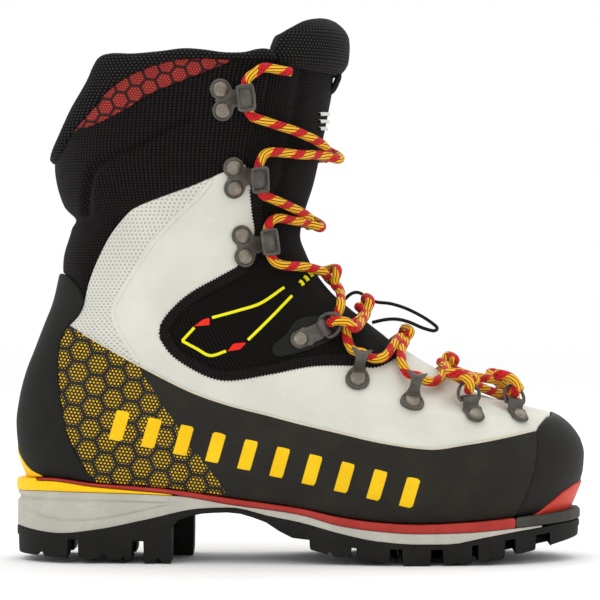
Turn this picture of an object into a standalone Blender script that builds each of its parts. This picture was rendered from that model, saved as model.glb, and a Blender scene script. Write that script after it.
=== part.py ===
"""One mountaineering boot, for the right foot, laced and standing on its sole.

+X runs to the toe, -Y to the outer (lateral) side and +Z up. The origin is on the ground under the middle
of the boot. Sizes are written in millimetres and scaled by MM as each shape is made.
"""

import bmesh
import bpy
import numpy as np
from mathutils import Matrix, Vector
from mathutils.geometry import tessellate_polygon

MM = 0.001

# ---------------------------------------------------------------- driving dimensions, in mm
SEAM = 0.4  # gap between neighbouring panels
LAYER_GAP = 1.0  # gap between the outer layer and the lining
SKIN = 2.2  # thickness of the outer layer
LINING = 2.4  # thickness of the padded lining
COLLAR_PAD = 7.0  # thickness of the rolled collar
REST_GAP = 0.3  # gap under a piece that rests on another
LACE = 5.4  # lace diameter
CORD = 1.8  # diameter of the elastic pull cord
TOE_SWING = 6.0  # how far the toe bends towards the inner side
ANKLE = (-70.0, 115.0)  # the ankle joint, as x and z
SHELL_LEVELS = (17, 30, 42, 54, 63, 70, 75, 79, 84, 91, 100, 112, 126, 142, 157, 168, 174, 184, 204, 230,
                256, 280)
SHELL_COLUMNS = 26  # points round each level


def smooth(points):
    """A smooth curve through (t, value) points that never overshoots between them."""
    t, v = np.array(points, float).T
    steps, rises = np.diff(t), np.diff(v) / np.diff(t)
    slopes = np.zeros(len(t))
    for i in range(1, len(t) - 1):
        before, after = rises[i - 1], rises[i]
        if before * after > 0:
            a, b = 2 * steps[i] + steps[i - 1], steps[i] + 2 * steps[i - 1]
            slopes[i] = (a + b) / (a / before + b / after)
    slopes[0], slopes[-1] = rises[0], rises[-1]

    def value(at):
        at = np.clip(at, t[0], t[-1])
        i = np.clip(np.searchsorted(t, at) - 1, 0, len(t) - 2)
        h = steps[i]
        s = (at - t[i]) / h
        return (
            (1 + 2 * s) * (1 - s) ** 2 * v[i] + s * (1 - s) ** 2 * h * slopes[i]
            + s * s * (3 - 2 * s) * v[i + 1] + s * s * (s - 1) * h * slopes[i + 1]
        )

    return value


# ---------------------------------------------------------------- the last: the boot's outer surface
# The back and front of the side view, as x against height.
BACK = smooth([(17, -132), (41, -138.5), (57, -143.7), (70, -144.7), (82, -143.2), (95, -140), (107, -135.4),
               (119, -130.8), (132, -125.8), (144, -123), (156, -120.5), (168, -116.6), (174, -115.2),
               (182, -120.5),
               (194, -124.6), (206, -127), (232, -127.5), (280, -126)])
FRONT = smooth([(13, 120), (23, 136), (34, 142), (46, 145.9), (54, 146.4), (60, 145), (66, 141.4),
                (72, 135), (75, 129),
                (78, 117), (80, 109), (83, 97), (88, 85), (97, 71), (107, 54.5), (117, 41), (130, 24.5),
                (137, 16.5),
                (148, 8), (157, 3.5), (166, 0.5), (175, 2), (193, 7.5), (219, 13), (247, 19), (256, 22.5),
                (266, 22.5),
                (280, 14)])
# Half the boot's width at the foot, against x, on the outer and inner side.
FOOT_OUTER = smooth([(-145, 34), (-110, 35.5), (-70, 36), (-30, 38), (15, 44), (55, 50), (85, 49),
                     (115, 45), (146, 41)])
FOOT_INNER = smooth([(-145, 34), (-110, 35), (-70, 33), (-30, 33), (15, 41), (55, 50), (85, 50), (115, 47),
                     (146, 42)])
# Half the width of the shaft, and the lengths over which the back and the front round off, against height.
SHAFT = smooth([(17, 34), (60, 36), (100, 36), (130, 37), (160, 38), (174, 38.5), (190, 43), (212, 47),
                (262, 50)])
ROUND_BACK = smooth([(17, 36), (80, 40), (130, 46), (174, 50), (210, 58), (262, 62)])
ROUND_FRONT = smooth([(17, 46), (55, 48), (70, 56), (82, 66), (100, 76), (135, 86), (165, 74), (262, 72)])
FOOT_TO_SHAFT = (78.0, 150.0)  # heights between which the foot's width gives way to the shaft's
BULGE = smooth([(17, 0.90), (32, 0.95), (52, 1.0), (80, 0.98), (262, 0.98)])


def ease(t):
    t = np.clip(t, 0, 1)
    return t * t * (3 - 2 * t)


def cap(distance, length):
    """0 at a round end, rising along a quarter of an ellipse to 1."""
    t = 1 - np.clip(distance / length, 0, 1)
    return np.sqrt(np.maximum(0, 1 - t * t))


def middle_y(x):
    return TOE_SWING * np.clip((x - 20) / 125, 0, 1) ** 2


def surface(x, z, side):
    """The point of the last at x and z on one side: -1 the outer, +1 the inner."""
    foot = (FOOT_OUTER if side < 0 else FOOT_INNER)(x) * BULGE(z)
    share = ease((z - FOOT_TO_SHAFT[0]) / (FOOT_TO_SHAFT[1] - FOOT_TO_SHAFT[0]))
    half = foot * (1 - share) + SHAFT(z) * share
    half = half * cap(x - BACK(z), ROUND_BACK(z)) * cap(FRONT(z) - x, ROUND_FRONT(z))
    return Vector((float(x), float(middle_y(x) + side * half), float(z)))


def round_the_last(angle, z):
    """The point of the last at an angle: 0 at the back, pi at the front, negative on the outer side."""
    back, front = BACK(z), FRONT(z)
    x = (back + front) / 2 - (front - back) / 2 * np.cos(angle)
    return surface(x, z, -1 if np.sin(angle) < 0 else 1)


def offset_from_last(angle, z, height):
    """The same point, moved out from the surface by height."""
    d = 0.02
    around = round_the_last(angle + d, z) - round_the_last(angle - d, z)
    up = round_the_last(angle, z + 1) - round_the_last(angle, z - 1)
    normal = around.cross(up).normalized()
    return round_the_last(angle, z) + normal * -height


def frame_on(x, z, side, forward):
    """A matrix on the last at x and z: its x axis along forward (an x, z direction), its z axis outwards."""
    d = 0.5
    along = surface(x + d, z, side) - surface(x - d, z, side)
    up = surface(x, z + d, side) - surface(x, z - d, side)
    out = along.cross(up).normalized() * -side
    u = (along * forward[0] + up * forward[1]).normalized()
    u = (u - out * u.dot(out)).normalized()
    v = out.cross(u)
    matrix = Matrix((u, v, out)).transposed().to_4x4()
    matrix.translation = surface(x, z, side)
    return matrix


# ---------------------------------------------------------------- making objects
def clear_scene():
    for obj in list(bpy.data.objects):
        bpy.data.objects.remove(obj)


def collection(name):
    made = bpy.data.collections.new(name)
    bpy.context.scene.collection.children.link(made)
    return made


def material(name, colour, roughness, metallic=0.0):
    made = bpy.data.materials.new(name)
    made.use_nodes = True
    shader = made.node_tree.nodes["Principled BSDF"]
    shader.inputs["Base Color"].default_value = (*colour, 1)
    shader.inputs["Roughness"].default_value = roughness
    shader.inputs["Metallic"].default_value = metallic
    return made


def new_object(name, bm, paint, where, origin=(0, 0, 0)):
    """An object from a bmesh in mm, with its own origin."""
    bmesh.ops.translate(bm, verts=bm.verts, vec=-Vector(origin))
    bmesh.ops.scale(bm, verts=bm.verts, vec=(MM, MM, MM))
    bmesh.ops.recalc_face_normals(bm, faces=bm.faces)
    mesh = bpy.data.meshes.new(name)
    bm.to_mesh(mesh)
    bm.free()
    obj = bpy.data.objects.new(name, mesh)
    obj.location = Vector(origin) * MM
    where.objects.link(obj)
    if paint:
        mesh.materials.append(paint)
    return obj


def apply_modifiers(obj):
    bpy.context.view_layer.update()
    graph = bpy.context.evaluated_depsgraph_get()
    mesh = bpy.data.meshes.new_from_object(obj.evaluated_get(graph))
    obj.modifiers.clear()
    obj.data = mesh


def boolean(obj, other, operation):
    made = obj.modifiers.new(operation.title(), "BOOLEAN")
    made.operation = operation
    made.object = other
    apply_modifiers(obj)


def hide(obj):
    obj.hide_render = True
    obj.display_type = "WIRE"


def tidy(obj, within=0.01):
    """Merges points that a Boolean leaves almost in one place."""
    bm = bmesh.new()
    bm.from_mesh(obj.data)
    bmesh.ops.remove_doubles(bm, verts=bm.verts, dist=within * MM)
    bmesh.ops.dissolve_degenerate(bm, edges=bm.edges, dist=within * MM)
    bm.to_mesh(obj.data)
    bm.free()
    return obj


def inset(outline, by):
    """The outline moved inwards by a small distance, point by point."""
    points = [Vector(p) for p in outline]
    area = sum(a.x * b.y - b.x * a.y for a, b in zip(points, points[1:] + points[:1]))
    turn = 1 if area > 0 else -1
    moved = []
    for i, point in enumerate(points):
        before = (point - points[i - 1]).normalized()
        after = (points[(i + 1) % len(points)] - point).normalized()
        across = Vector((-before.y - after.y, before.x + after.x)) * turn
        across.normalize()
        lean = max(0.35, abs(across.dot(Vector((-before.y, before.x)))))
        moved.append(point + across * (by / lean))
    return moved


def prism(name, outline, low_y, high_y, where):
    """A cutter: an x, z outline run from low_y to high_y."""
    bm = bmesh.new()
    near = [bm.verts.new((p[0], low_y, p[1])) for p in outline]
    face = bm.faces.new(near)
    grown = bmesh.ops.extrude_face_region(bm, geom=[face])
    far = [v for v in grown["geom"] if isinstance(v, bmesh.types.BMVert)]
    bmesh.ops.translate(bm, verts=far, vec=(0, high_y - low_y, 0))
    bmesh.ops.triangulate(bm, faces=[f for f in bm.faces if len(f.verts) > 4])
    made = new_object(name, bm, None, where)
    hide(made)
    return made


def shell(name, outer, inner, where):
    """A closed shell of the whole last, between two heights off its surface: a blank to cut from."""
    bm = bmesh.new()
    angles = [2 * np.pi * (j + 0.5) / SHELL_COLUMNS - np.pi for j in range(SHELL_COLUMNS)]
    layers = []
    for height in (outer, inner):
        layers.append([[bm.verts.new(offset_from_last(a, z, height)) for a in angles] for z in SHELL_LEVELS])
    for layer in layers:
        for low, high in zip(layer, layer[1:]):
            for j in range(SHELL_COLUMNS):
                k = (j + 1) % SHELL_COLUMNS
                corners = (low[j], low[k], high[k], high[j])
                bm.faces.new(corners if layer is layers[0] else corners[::-1])
    for rim in (0, -1):
        for j in range(SHELL_COLUMNS):
            k = (j + 1) % SHELL_COLUMNS
            bm.faces.new((layers[0][rim][j], layers[0][rim][k], layers[1][rim][k], layers[1][rim][j]))
    made = new_object(name, bm, None, where)
    hide(made)
    return made


SIDES = {"both": (-90, 90), "lateral": (-90, -0.5), "medial": (0.5, 90)}


def panel(name, blank, outline, paint, side="both"):
    """A panel of the boot: the part of a shell inside an x, z outline."""
    low, high = SIDES[side]
    cutter = prism(name + "_cutter", inset(outline, SEAM / 2), low, high, cutters)
    obj = bpy.data.objects.new(name, blank.data.copy())
    obj.location = blank.location
    parts.objects.link(obj)
    boolean(obj, cutter, "INTERSECT")
    obj.data.materials.clear()
    obj.data.materials.append(paint)
    return tidy(obj)


def ladder(bm, stations, left, right, top, bottom):
    """Adds a closed slab to a bmesh. Its sides, top and bottom are functions of x."""
    rings = []
    for x in stations:
        y0, y1, z0, z1 = float(left(x)), float(right(x)), float(bottom(x)), float(top(x))
        rings.append([bm.verts.new(p) for p in ((x, y0, z0), (x, y1, z0), (x, y1, z1), (x, y0, z1))])
    for a, b in zip(rings, rings[1:]):
        for j in range(4):
            k = (j + 1) % 4
            bm.faces.new((a[j], a[k], b[k], b[j]))
    bm.faces.new(rings[0][::-1])
    bm.faces.new(rings[-1])


def slab(name, stations, left, right, top, bottom, paint):
    bm = bmesh.new()
    ladder(bm, stations, left, right, top, bottom)
    return new_object(name, bm, paint, parts)


# ---------------------------------------------------------------- outlines, as x and z
# The feather line, where the upper meets the sole, and the undersides of the layers below it.
FEATHER = smooth([(-146, 41.8), (-138, 42.6), (-127, 43.2), (-103, 40.7), (-80, 39), (-62, 37.2),
                  (-35, 33.2),
                  (-20, 31.2), (0, 28.4), (20, 24.2), (39, 21.8), (60, 20.8), (80, 21.5), (108, 23.7),
                  (146, 26.6)])
PLATE_BOTTOM = smooth([(-146, 35.7), (-127, 36.5), (-103, 36), (-62, 34.4), (-35, 30.2), (0, 25.4), (20, 20),
                       (39, 17.5), (60, 16.3), (80, 16.6), (108, 18.6), (146, 21)])
MIDSOLE_BOTTOM = smooth([(-146, 18), (-122, 15.4), (-102, 17.5), (-78, 22.3), (-50, 28), (-35, 28.6),
                         (-16, 24.5),
                         (0, 21.4), (20, 16), (39, 12.3), (60, 10.9), (74, 10.9), (92, 14), (108, 16.6),
                         (122, 18.4), (130, 19.6), (146, 20.6)])
BASE_BOTTOM = smooth([(-146, 12.6), (-112, 12.3), (-80, 11.4), (-72, 12), (-68, 14), (-64, 20.2), (-59, 23),
                      (-48.8, 25.4), (-35.4, 26), (-19.1, 22), (-3.5, 13.5), (12, 12), (28, 8.6), (45, 8.4),
                      (70, 8.2), (84, 9.8), (100, 12), (116, 14.2), (146, 17)])
GROUND = smooth([(-146, 4), (-130, 3.3), (-115, 2.7), (-99, 2.4), (-86, 2), (-79.5, 0), (-60, 0), (0, 9),
                 (6, 7.5),
                 (19, 4.4), (26, 4.2), (28, 3.2), (37, 2.4), (44, 1.8), (50, 0), (66, 0), (72, 0.6),
                 (84, 1.2),
                 (92, 2), (100, 2.8), (106, 4.8), (116, 6.4), (124, 8.2), (146, 12.5)])
PLATE_OVER_INSERT = smooth([(-134, 41.7), (-127, 41.8), (-103, 39), (-80, 36.9), (-68, 35.8), (-64, 35.2),
                            (-59, 33.9),
                            (-40, 0)])
INSERT_TOP = smooth([(-146, 41.5), (-138, 42.3), (-134.2, 42.4), (-133.4, 41.2), (-127, 41.4), (-103, 38.6),
                     (-80, 36.5), (-68, 35.4), (-64.5, 34.9)])
SPLIT_RISE, SPLIT_OPENS = 0.033, 0.1  # how the split behind the ankle rises to the back and widens
BACK_X, FRONT_X = -160, 160


def split(x, upper):
    """A point on the split behind the ankle, on its lower or its upper edge."""
    return (x, ANKLE[1] + (ANKLE[0] - x) * (SPLIT_RISE + (SPLIT_OPENS if upper else 0)))


RAND_TOP = [split(-111, False), (-98, 109), (-81, 99.5), (-54, 86), (-35, 79.5), (-16, 74.7), (0, 70.6),
            (20, 66), (39, 61.7),
            (58, 58.8), (68, 58.3), (82, 60.3), (97, 62.7), (119.6, 66.8)]
COUNTER_EDGE = [(-103, 41), (-109, 49), (-115, 60), (-119, 72), (-121, 85), (-122, 100), (-120.5, 112),
                split(-119.5, False)]
TOE_EDGE = [(108.5, 22), (112.6, 32.6), (116.6, 44.2), (119, 55.7), (119.6, 66.8), (123.5, 71.2),
            (130.5, 76.5)]
FLEX_LOW = [ANKLE, (-64, 105), (-55, 99), (-44, 94), (-36, 92.7), (-15, 96), (6, 100), (26, 100.3),
            (38, 99.3),
            (46, 102.5), (53, 108), (62, 116)]
FLEX_HIGH = [(-69, 122), (-62, 130.3), (-54, 136.5), (-40, 144.3), (-30, 150.2), (-22, 167.3),
             (-23.7, 177.8)]
FLEX_FRONT = [(-23.7, 177.8), (-15, 168), (-12.8, 162), (-8, 148), (4, 134), (18, 120), (33, 108),
              (38, 99.3)]
WHITE_TOP = [(-109, 132.6), (-107, 141.4), (-102, 154), (-96, 165.4), (-91, 172), (-86, 177.4), (-81, 180),
             (-69, 184.6),
             (-54, 190), (-39, 196.6), (-25, 192)]
KNIT_FRONT = [(-25, 192), (-28, 208), (-24, 217), (-20, 226), (-15, 248), (-12, 256)]
HEX_LOW = [(-116.6, 210.4), (-102, 221.7), (-92.5, 226), (-83, 231), (-73.6, 236.6), (-64, 240.4),
           (-54, 244.3), (-45, 247.6),
           (-34, 252)]
COLLAR_LOW = [(-140, 184), (-121, 203), (-113, 217.5), (-104, 229), (-96.5, 237.5), (-86.7, 244.2),
              (-75.6, 249),
              (-64, 252.5), (-53.6, 253.5), (-35, 253), (-12, 253)]
COLLAR_HIGH = [(-12, 256), (-16, 258.5), (-20, 258.5), (-27, 256.5), (-38, 256.5), (-48, 258), (-58, 258.5),
               (-70, 257),
               (-84, 256), (-96, 256.4), (-101, 255.4), (-104, 251), (-107, 243.5), (-116, 228), (-121, 216),
               (-140, 196)]
PAD_LOW = [(-11, 251), (0, 248.5), (10, 247.5), (30, 246.5)]
PAD_HIGH = [(30, 278), (13, 277.3), (6, 276), (0, 272.6), (-6.5, 268), (-10, 264), (-11, 251)]


# ---------------------------------------------------------------- sole
def sole_edge(side, inside=0.0):
    """The sole's edge on one side, as y against x."""
    widths = FOOT_OUTER if side < 0 else FOOT_INNER

    def edge(x):
        half = (widths(x) + 1.5 - inside) * cap(x + 145.7 - inside, 38) * cap(144.6 - inside - x, 50)
        return middle_y(x) + side * half

    return edge


# The places along x where every layer has a point: closer together towards the heel and the toe.
SOLE_X = sorted([-0.5 - 144.9 * np.cos(np.pi * i / 24) for i in range(25)]
                + [-134.2, -133.4, -80, -72, -68, -64, -59, -3.5, 28, 50])


def stations(low, high):
    """The places along x where every layer of the sole has a point, between low and high."""
    return [low, *(x for x in SOLE_X if low + 1.5 < x < high - 1.5), high]


def above(curve, lift):
    return lambda x: curve(x) + lift


def make_outsole():
    rubber = material("outsole rubber", (0.016, 0.015, 0.012), 0.7)
    base = slab("outsole", stations(-145.3, 144), sole_edge(-1), sole_edge(1),
                above(MIDSOLE_BOTTOM, -REST_GAP),
                BASE_BOTTOM, rubber)
    lugs = [(low, high, 0, 0.0) for low, high in CENTRE_LUGS]
    for low, lateral, medial, share in SIDE_LUGS:
        lugs += [(low, lateral, -1, share), (low, medial, 1, share)]
    for low, high, side, share in lugs:
        left, right = lug_sides(side, share)
        lug = slab("lug", stations(low, high), left, right, above(MIDSOLE_BOTTOM, -1.2), GROUND, rubber)
        boolean(base, lug, "UNION")
        bpy.data.objects.remove(lug)
    return tidy(base)


# Each lug at the sole's edge: where it starts, where it ends on the lateral and the medial side, and how
# far in it
# reaches, as the share of the half width that is left inside it.
SIDE_LUGS = ((-142.5, -117, -117, 0.3), (-112, -84.5, -84.5, 0.3), (-79, -64.5, -55, 0.35),
             (4.5, 26, 26, 0.35),
             (28.5, 45, 45, 0.4), (51, 65.5, 65.5, 0.4), (71.3, 86, 86, 0.4), (89, 102.8, 102.8, 0.4),
             (108, 119, 119, 0.35), (126.3, 141.5, 141.5, 0.3))
CENTRE_LUGS = ((6, 20), (36, 50), (60, 72), (80, 92), (98, 110))
CENTRE_LUG_WIDTH = 22.0


def lug_sides(side, share):
    """The two edges of a lug: at the sole's edge and part of the way in, or a block in the middle."""
    if side == 0:
        return above(middle_y, -CENTRE_LUG_WIDTH / 2), above(middle_y, CENTRE_LUG_WIDTH / 2)
    edge = sole_edge(side, 0.4)

    def inner(x):
        return middle_y(x) + (edge(x) - middle_y(x)) * share

    return (edge, inner) if side < 0 else (inner, edge)


def make_midsole():
    paint = material("midsole foam", (0.50, 0.48, 0.41), 0.6)
    slab("midsole", stations(-145, 122), sole_edge(-1, 0.3), sole_edge(1, 0.3),
         above(PLATE_BOTTOM, -REST_GAP), MIDSOLE_BOTTOM, paint)


def make_plates():
    yellow = material("heel insert rubber", (0.85, 0.55, 0.01), 0.5)
    red = material("sole plate plastic", (0.39, 0.045, 0.035), 0.45)
    grey = material("toe welt rubber", (0.07, 0.065, 0.06), 0.6)
    under_board = above(FEATHER, -REST_GAP)
    slab("heel_insert", stations(-145.5, -64.5), sole_edge(-1, -0.2), sole_edge(1, -0.2), INSERT_TOP,
         PLATE_BOTTOM, yellow)
    slab("sole_plate", stations(-133, 108), sole_edge(-1, -0.2), sole_edge(1, -0.2), under_board,
         lambda x: max(PLATE_OVER_INSERT(x), PLATE_BOTTOM(x)), red)
    slab("toe_welt", stations(108 + SEAM, 144.4), sole_edge(-1, -0.4), sole_edge(1, -0.4), under_board,
         PLATE_BOTTOM, grey)


def core(name, height):
    """A closed solid of the whole last at a height off its surface: the space inside the layers."""
    bm = bmesh.new()
    angles = [2 * np.pi * (j + 0.5) / SHELL_COLUMNS - np.pi for j in range(SHELL_COLUMNS)]
    rings = [[bm.verts.new(offset_from_last(a, z, height)) for a in angles] for z in SHELL_LEVELS[:6]]
    for low, high in zip(rings, rings[1:]):
        for j in range(SHELL_COLUMNS):
            k = (j + 1) % SHELL_COLUMNS
            bm.faces.new((low[j], low[k], high[k], high[j]))
    bm.faces.new(rings[0][::-1])
    bm.faces.new(rings[-1])
    made = new_object(name, bm, None, cutters)
    hide(made)
    return made


def make_inner_sole():
    inside = core("inside", -SKIN - LAYER_GAP - LINING - LAYER_GAP)
    board = material("insole board", (0.45, 0.38, 0.27), 0.8)
    felt = material("footbed felt", (0.05, 0.05, 0.05), 0.9)
    steel = material("shank composite", (0.03, 0.03, 0.035), 0.4)
    wide = 55
    layers = (("insole_board", 0.0, 2.2, board, -140, 142), ("footbed", 4.9, 8.9, felt, -140, 142))
    for name, low, high, paint, start, end in layers:
        made = slab(name, stations(start, end), lambda x: -wide, lambda x: wide, above(FEATHER, high),
                    above(FEATHER, low), paint)
        boolean(made, inside, "INTERSECT")
        tidy(made)
    slab("shank", stations(-110, 70), lambda x: -13 + middle_y(x), lambda x: 13 + middle_y(x),
         above(FEATHER, 4.1), above(FEATHER, 2.9), steel)


# ---------------------------------------------------------------- upper
def feather_line(*places):
    """Points just above the feather line."""
    return [(x, float(FEATHER(x)) + REST_GAP) for x in places]


def make_foot_upper():
    """The panels that stay with the sole."""
    outer = shell("outer_blank", 0, -SKIN, cutters)
    rubber = material("rand rubber", (0.028, 0.024, 0.018), 0.65)
    leather = material("white leather", (0.66, 0.64, 0.58), 0.6)
    textile = material("flex textile", (0.008, 0.007, 0.007), 0.9)
    counter = feather_line(BACK_X, -130, -115) + COUNTER_EDGE + [split(BACK_X, False)]
    panel("heel_counter", outer, counter, rubber)
    sole_line = feather_line(-103, -80, -62, -35, -20, 0, 20, 39, 60, 80, 108)
    rand = sole_line + TOE_EDGE[1:5] + RAND_TOP[-2::-1] + COUNTER_EDGE[:0:-1]
    panel("rand_lateral", outer, rand, rubber, "lateral")
    panel("rand_medial", outer, rand, rubber, "medial")
    panel("toe_cap", outer, feather_line(108, 120, 135, FRONT_X) + [(160, 80), TOE_EDGE[-1]]
          + TOE_EDGE[-2:0:-1], rubber)
    vamp = RAND_TOP + TOE_EDGE[5:] + [(127, 100), (62, 116)] + FLEX_LOW[-2::-1]
    panel("vamp", outer, vamp, leather)
    flex = FLEX_LOW[:9] + FLEX_FRONT[-2::-1] + FLEX_HIGH[-2::-1]
    panel("flex_panel_lateral", outer, flex, textile, "lateral")
    panel("flex_panel_medial", outer, flex, textile, "medial")
    lower = FLEX_LOW[8:] + [(60, 150), (30, 162)] + FLEX_FRONT[2:-1]
    panel("tongue_lower", outer, lower, textile)
    return outer


def make_cuff_upper(outer):
    """The panels that lean with the cuff."""
    leather = material("white quarter leather", (0.66, 0.64, 0.58), 0.6)
    knit = material("cuff textile", (0.008, 0.006, 0.006), 0.9)
    red = material("red mesh", (0.42, 0.04, 0.03), 0.7)
    stay_paint = material("heel stay rubber", (0.025, 0.022, 0.018), 0.65)
    stay = [split(BACK_X, True), split(-109, True), (-109, 132.6), (-113, 138), (-118, 146), (BACK_X, 147)]
    panel("heel_stay", outer, stay, stay_paint)
    quarter = [ANKLE, *FLEX_HIGH, *WHITE_TOP[-1::-1], split(-109, True)]
    panel("quarter_lateral", outer, quarter, leather, "lateral")
    panel("quarter_medial", outer, quarter, leather, "medial")
    cuff = [(BACK_X, 147), (-118, 146), (-113, 138), *WHITE_TOP, *KNIT_FRONT[1:-1], (-12.8, 252), (-34, 252),
            *HEX_LOW[-2::-1], *COLLAR_LOW[1::-1], (BACK_X, 184)]
    panel("cuff", outer, cuff, knit)
    hexes = HEX_LOW + COLLAR_LOW[-2:2:-1]
    panel("hex_panel_lateral", outer, hexes, red, "lateral")
    panel("hex_panel_medial", outer, hexes, red, "medial")
    upper = [*FLEX_FRONT[:3], (30, 162), (60, 246), *PAD_LOW[-1::-1], *KNIT_FRONT[-2::-1]]
    panel("tongue_upper", outer, upper, material("tongue textile", (0.008, 0.007, 0.007), 0.85))


def make_top(outer):
    """The rolled collar, and the tongue's padded top with its tab."""
    mesh = material("collar mesh", (0.02, 0.018, 0.018), 0.85)
    pad = shell("collar_blank", 1.5, 1.5 - COLLAR_PAD, cutters)
    panel("collar", pad, COLLAR_LOW[:-1] + COLLAR_HIGH[1:], mesh)
    panel("tongue_pad", pad, PAD_LOW + PAD_HIGH[:-1], mesh)


def make_tab():
    """The small webbing tab on the front of the tongue."""
    line = [(float(FRONT(z)) + lift, z) for z, lift in ((235, 1.4), (238, 2.0), (243, 2.0), (246, 1.4))]
    bm = bmesh.new()
    strip(bm, line, 1.4, 14, Matrix.Identity(4))
    new_object("tongue_tab", bm, material("tab webbing", (0.01, 0.01, 0.01), 0.85), parts)


def make_linings():
    """The padded lining, split at the ankle like the layers outside it, and open at the front."""
    inner = shell("lining_blank", -SKIN - LAYER_GAP, -SKIN - LAYER_GAP - LINING, cutters)
    cloth = material("lining fleece", (0.02, 0.02, 0.02), 0.95)
    foot = feather_line(BACK_X, -138, -127, -115, -104, -80, -62, -35, -20, 0, 20, 39, 60, 80, 108,
                        FRONT_X) + [(FRONT_X, 100), (60, 106)]
    panel("lining_foot", inner, foot + [(20, 113), ANKLE, split(BACK_X, False)], cloth)
    front_high = [(0, 135), (-14, 163), (-23.7, 177.8), (-28, 208), (-20, 226), (-15, 248)]
    top = [(-16, 252), (-35, 252.5)] + COLLAR_LOW[-3::-1] + [(BACK_X, 184)]
    panel("lining_cuff", inner, [ANKLE] + front_high + top + [split(BACK_X, True)], cloth)


# ---------------------------------------------------------------- hardware, mirrored on the inner side
def strip(bm, line, thick, width, matrix):
    """Adds a bent strip of sheet metal: its line in the matrix's x, z plane, its width along y."""
    points = [Vector(p) for p in line]
    sides = ([], [])
    for i, point in enumerate(points):
        before = (point - points[i - 1]).normalized() if i else (points[1] - point).normalized()
        after = (points[i + 1] - point).normalized() if i + 1 < len(points) else before
        across = Vector((-before.y - after.y, before.x + after.x)).normalized()
        lean = max(0.5, across.dot(Vector((-before.y, before.x))))
        for side, sign in zip(sides, (-1, 1)):
            side.append(point + across * (sign * thick / 2 / lean))
    outline = sides[0] + sides[1][::-1]
    rings = [[bm.verts.new(matrix @ Vector((p.x, y, p.y))) for p in outline]
             for y in (-width / 2, width / 2)]
    count = len(outline)
    for j in range(count):
        k = (j + 1) % count
        bm.faces.new((rings[0][j], rings[0][k], rings[1][k], rings[1][j]))
    half = count // 2
    for ring in rings:
        for j in range(half - 1):
            bm.faces.new((ring[j], ring[j + 1], ring[count - 2 - j], ring[count - 1 - j]))


def add_rivets(obj, matrix, places, paint, height):
    """Unites rivet heads with a piece, at places along the matrix's x and y axes."""
    for x, y in places:
        bm = bmesh.new()
        at = matrix @ Matrix.Translation((x, y, height))
        bmesh.ops.create_cone(bm, cap_ends=True, segments=12, radius1=3.7, radius2=2.9, depth=2.0, matrix=at)
        rivet = new_object("rivet", bm, paint, cutters)
        boolean(obj, rivet, "UNION")
        bpy.data.objects.remove(rivet)
    return tidy(obj)


def hardware(name, side, line, thick, width, place, forward, paint, rivets=(), rivet_height=2.0):
    """One riveted strip on the last, at place and turned so that its line runs forward."""
    matrix = frame_on(*place, side, forward)
    bm = bmesh.new()
    strip(bm, line, thick, width, matrix)
    obj = new_object(name, bm, paint, parts)
    return add_rivets(obj, matrix, rivets, paint, rivet_height)


HOOK_LINE = [(-4.5, 1.3), (4.5, 1.3), (7, 1.5), (12.5, 1.7), (15, 3.2), (15.6, 6), (15, 8.8), (12.5, 10.2),
             (7, 10)]
HOOKS = ((-39, 233), (-33, 194.5), (-28.5, 160))  # the middle of each speed hook's plate, as x and z
GUIDES = ((29, 94.5, 0.15),
          (56, 82.5, 0.12))  # each lace guide's rivet, as x and z, and how it leans forward
GUIDE_LINE = [(-4.5, 1.2), (2.5, 1.2), (3.9, 2), (4.4, 5.5), (5.4, 8.6), (8.4, 9.8), (12.5, 9.4)]
CLIPS = ((87, 75.5, -0.45), (110, 74.5, -0.5))  # each D-ring clip's rivet, and how it leans
CLIP_LINE = [(-4, 1.2), (4, 1.2), (5.5, 1.5), (6.3, 3.2), (7.4, 4.2), (8.8, 4.3), (9.9, 3.4), (9.9, 1.7),
             (8.9, 0.8)]
RING_TILT = 0.6  # how far a ring stands out from the boot, in radians
RING_AXIS = (8.2, 2.6)  # where a ring's bar lies in its clip, as forward and outwards
ANKLE_RING = (1, 113, 0.42)
ANKLE_STRAP = 4.0  # how much longer the strap of the ankle ring's clip is


def ring(name, matrix, reach, wire, paint, further=0.0):
    """A D-shaped wire ring. Its bar lies in its clip, and it turns about the bar."""
    bar, spread = 5.8, 6.3
    shape = [(0, -bar), (0, bar)]
    shape += [(reach * np.sin(a), spread * np.cos(a)) for a in np.linspace(0.45, np.pi - 0.45, 7)]
    curve = bpy.data.curves.new(name, "CURVE")
    curve.dimensions = "3D"
    curve.bevel_depth = wire / 2 * MM
    curve.bevel_resolution = 1
    line = curve.splines.new("POLY")
    line.points.add(len(shape) - 1)
    line.use_cyclic_u = True
    turn = matrix @ Matrix.Translation((RING_AXIS[0] + further, 0,
                                        RING_AXIS[1])) @ Matrix.Rotation(-RING_TILT, 4, "Y")
    axis = turn.translation.copy()
    for point, (x, y) in zip(line.points, shape):
        point.co = (*((turn @ Vector((x, y, 0)) - axis) * MM), 1)
    obj = bpy.data.objects.new(name, curve)
    obj.location = axis * MM
    parts.objects.link(obj)
    curve.materials.append(paint)


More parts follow.
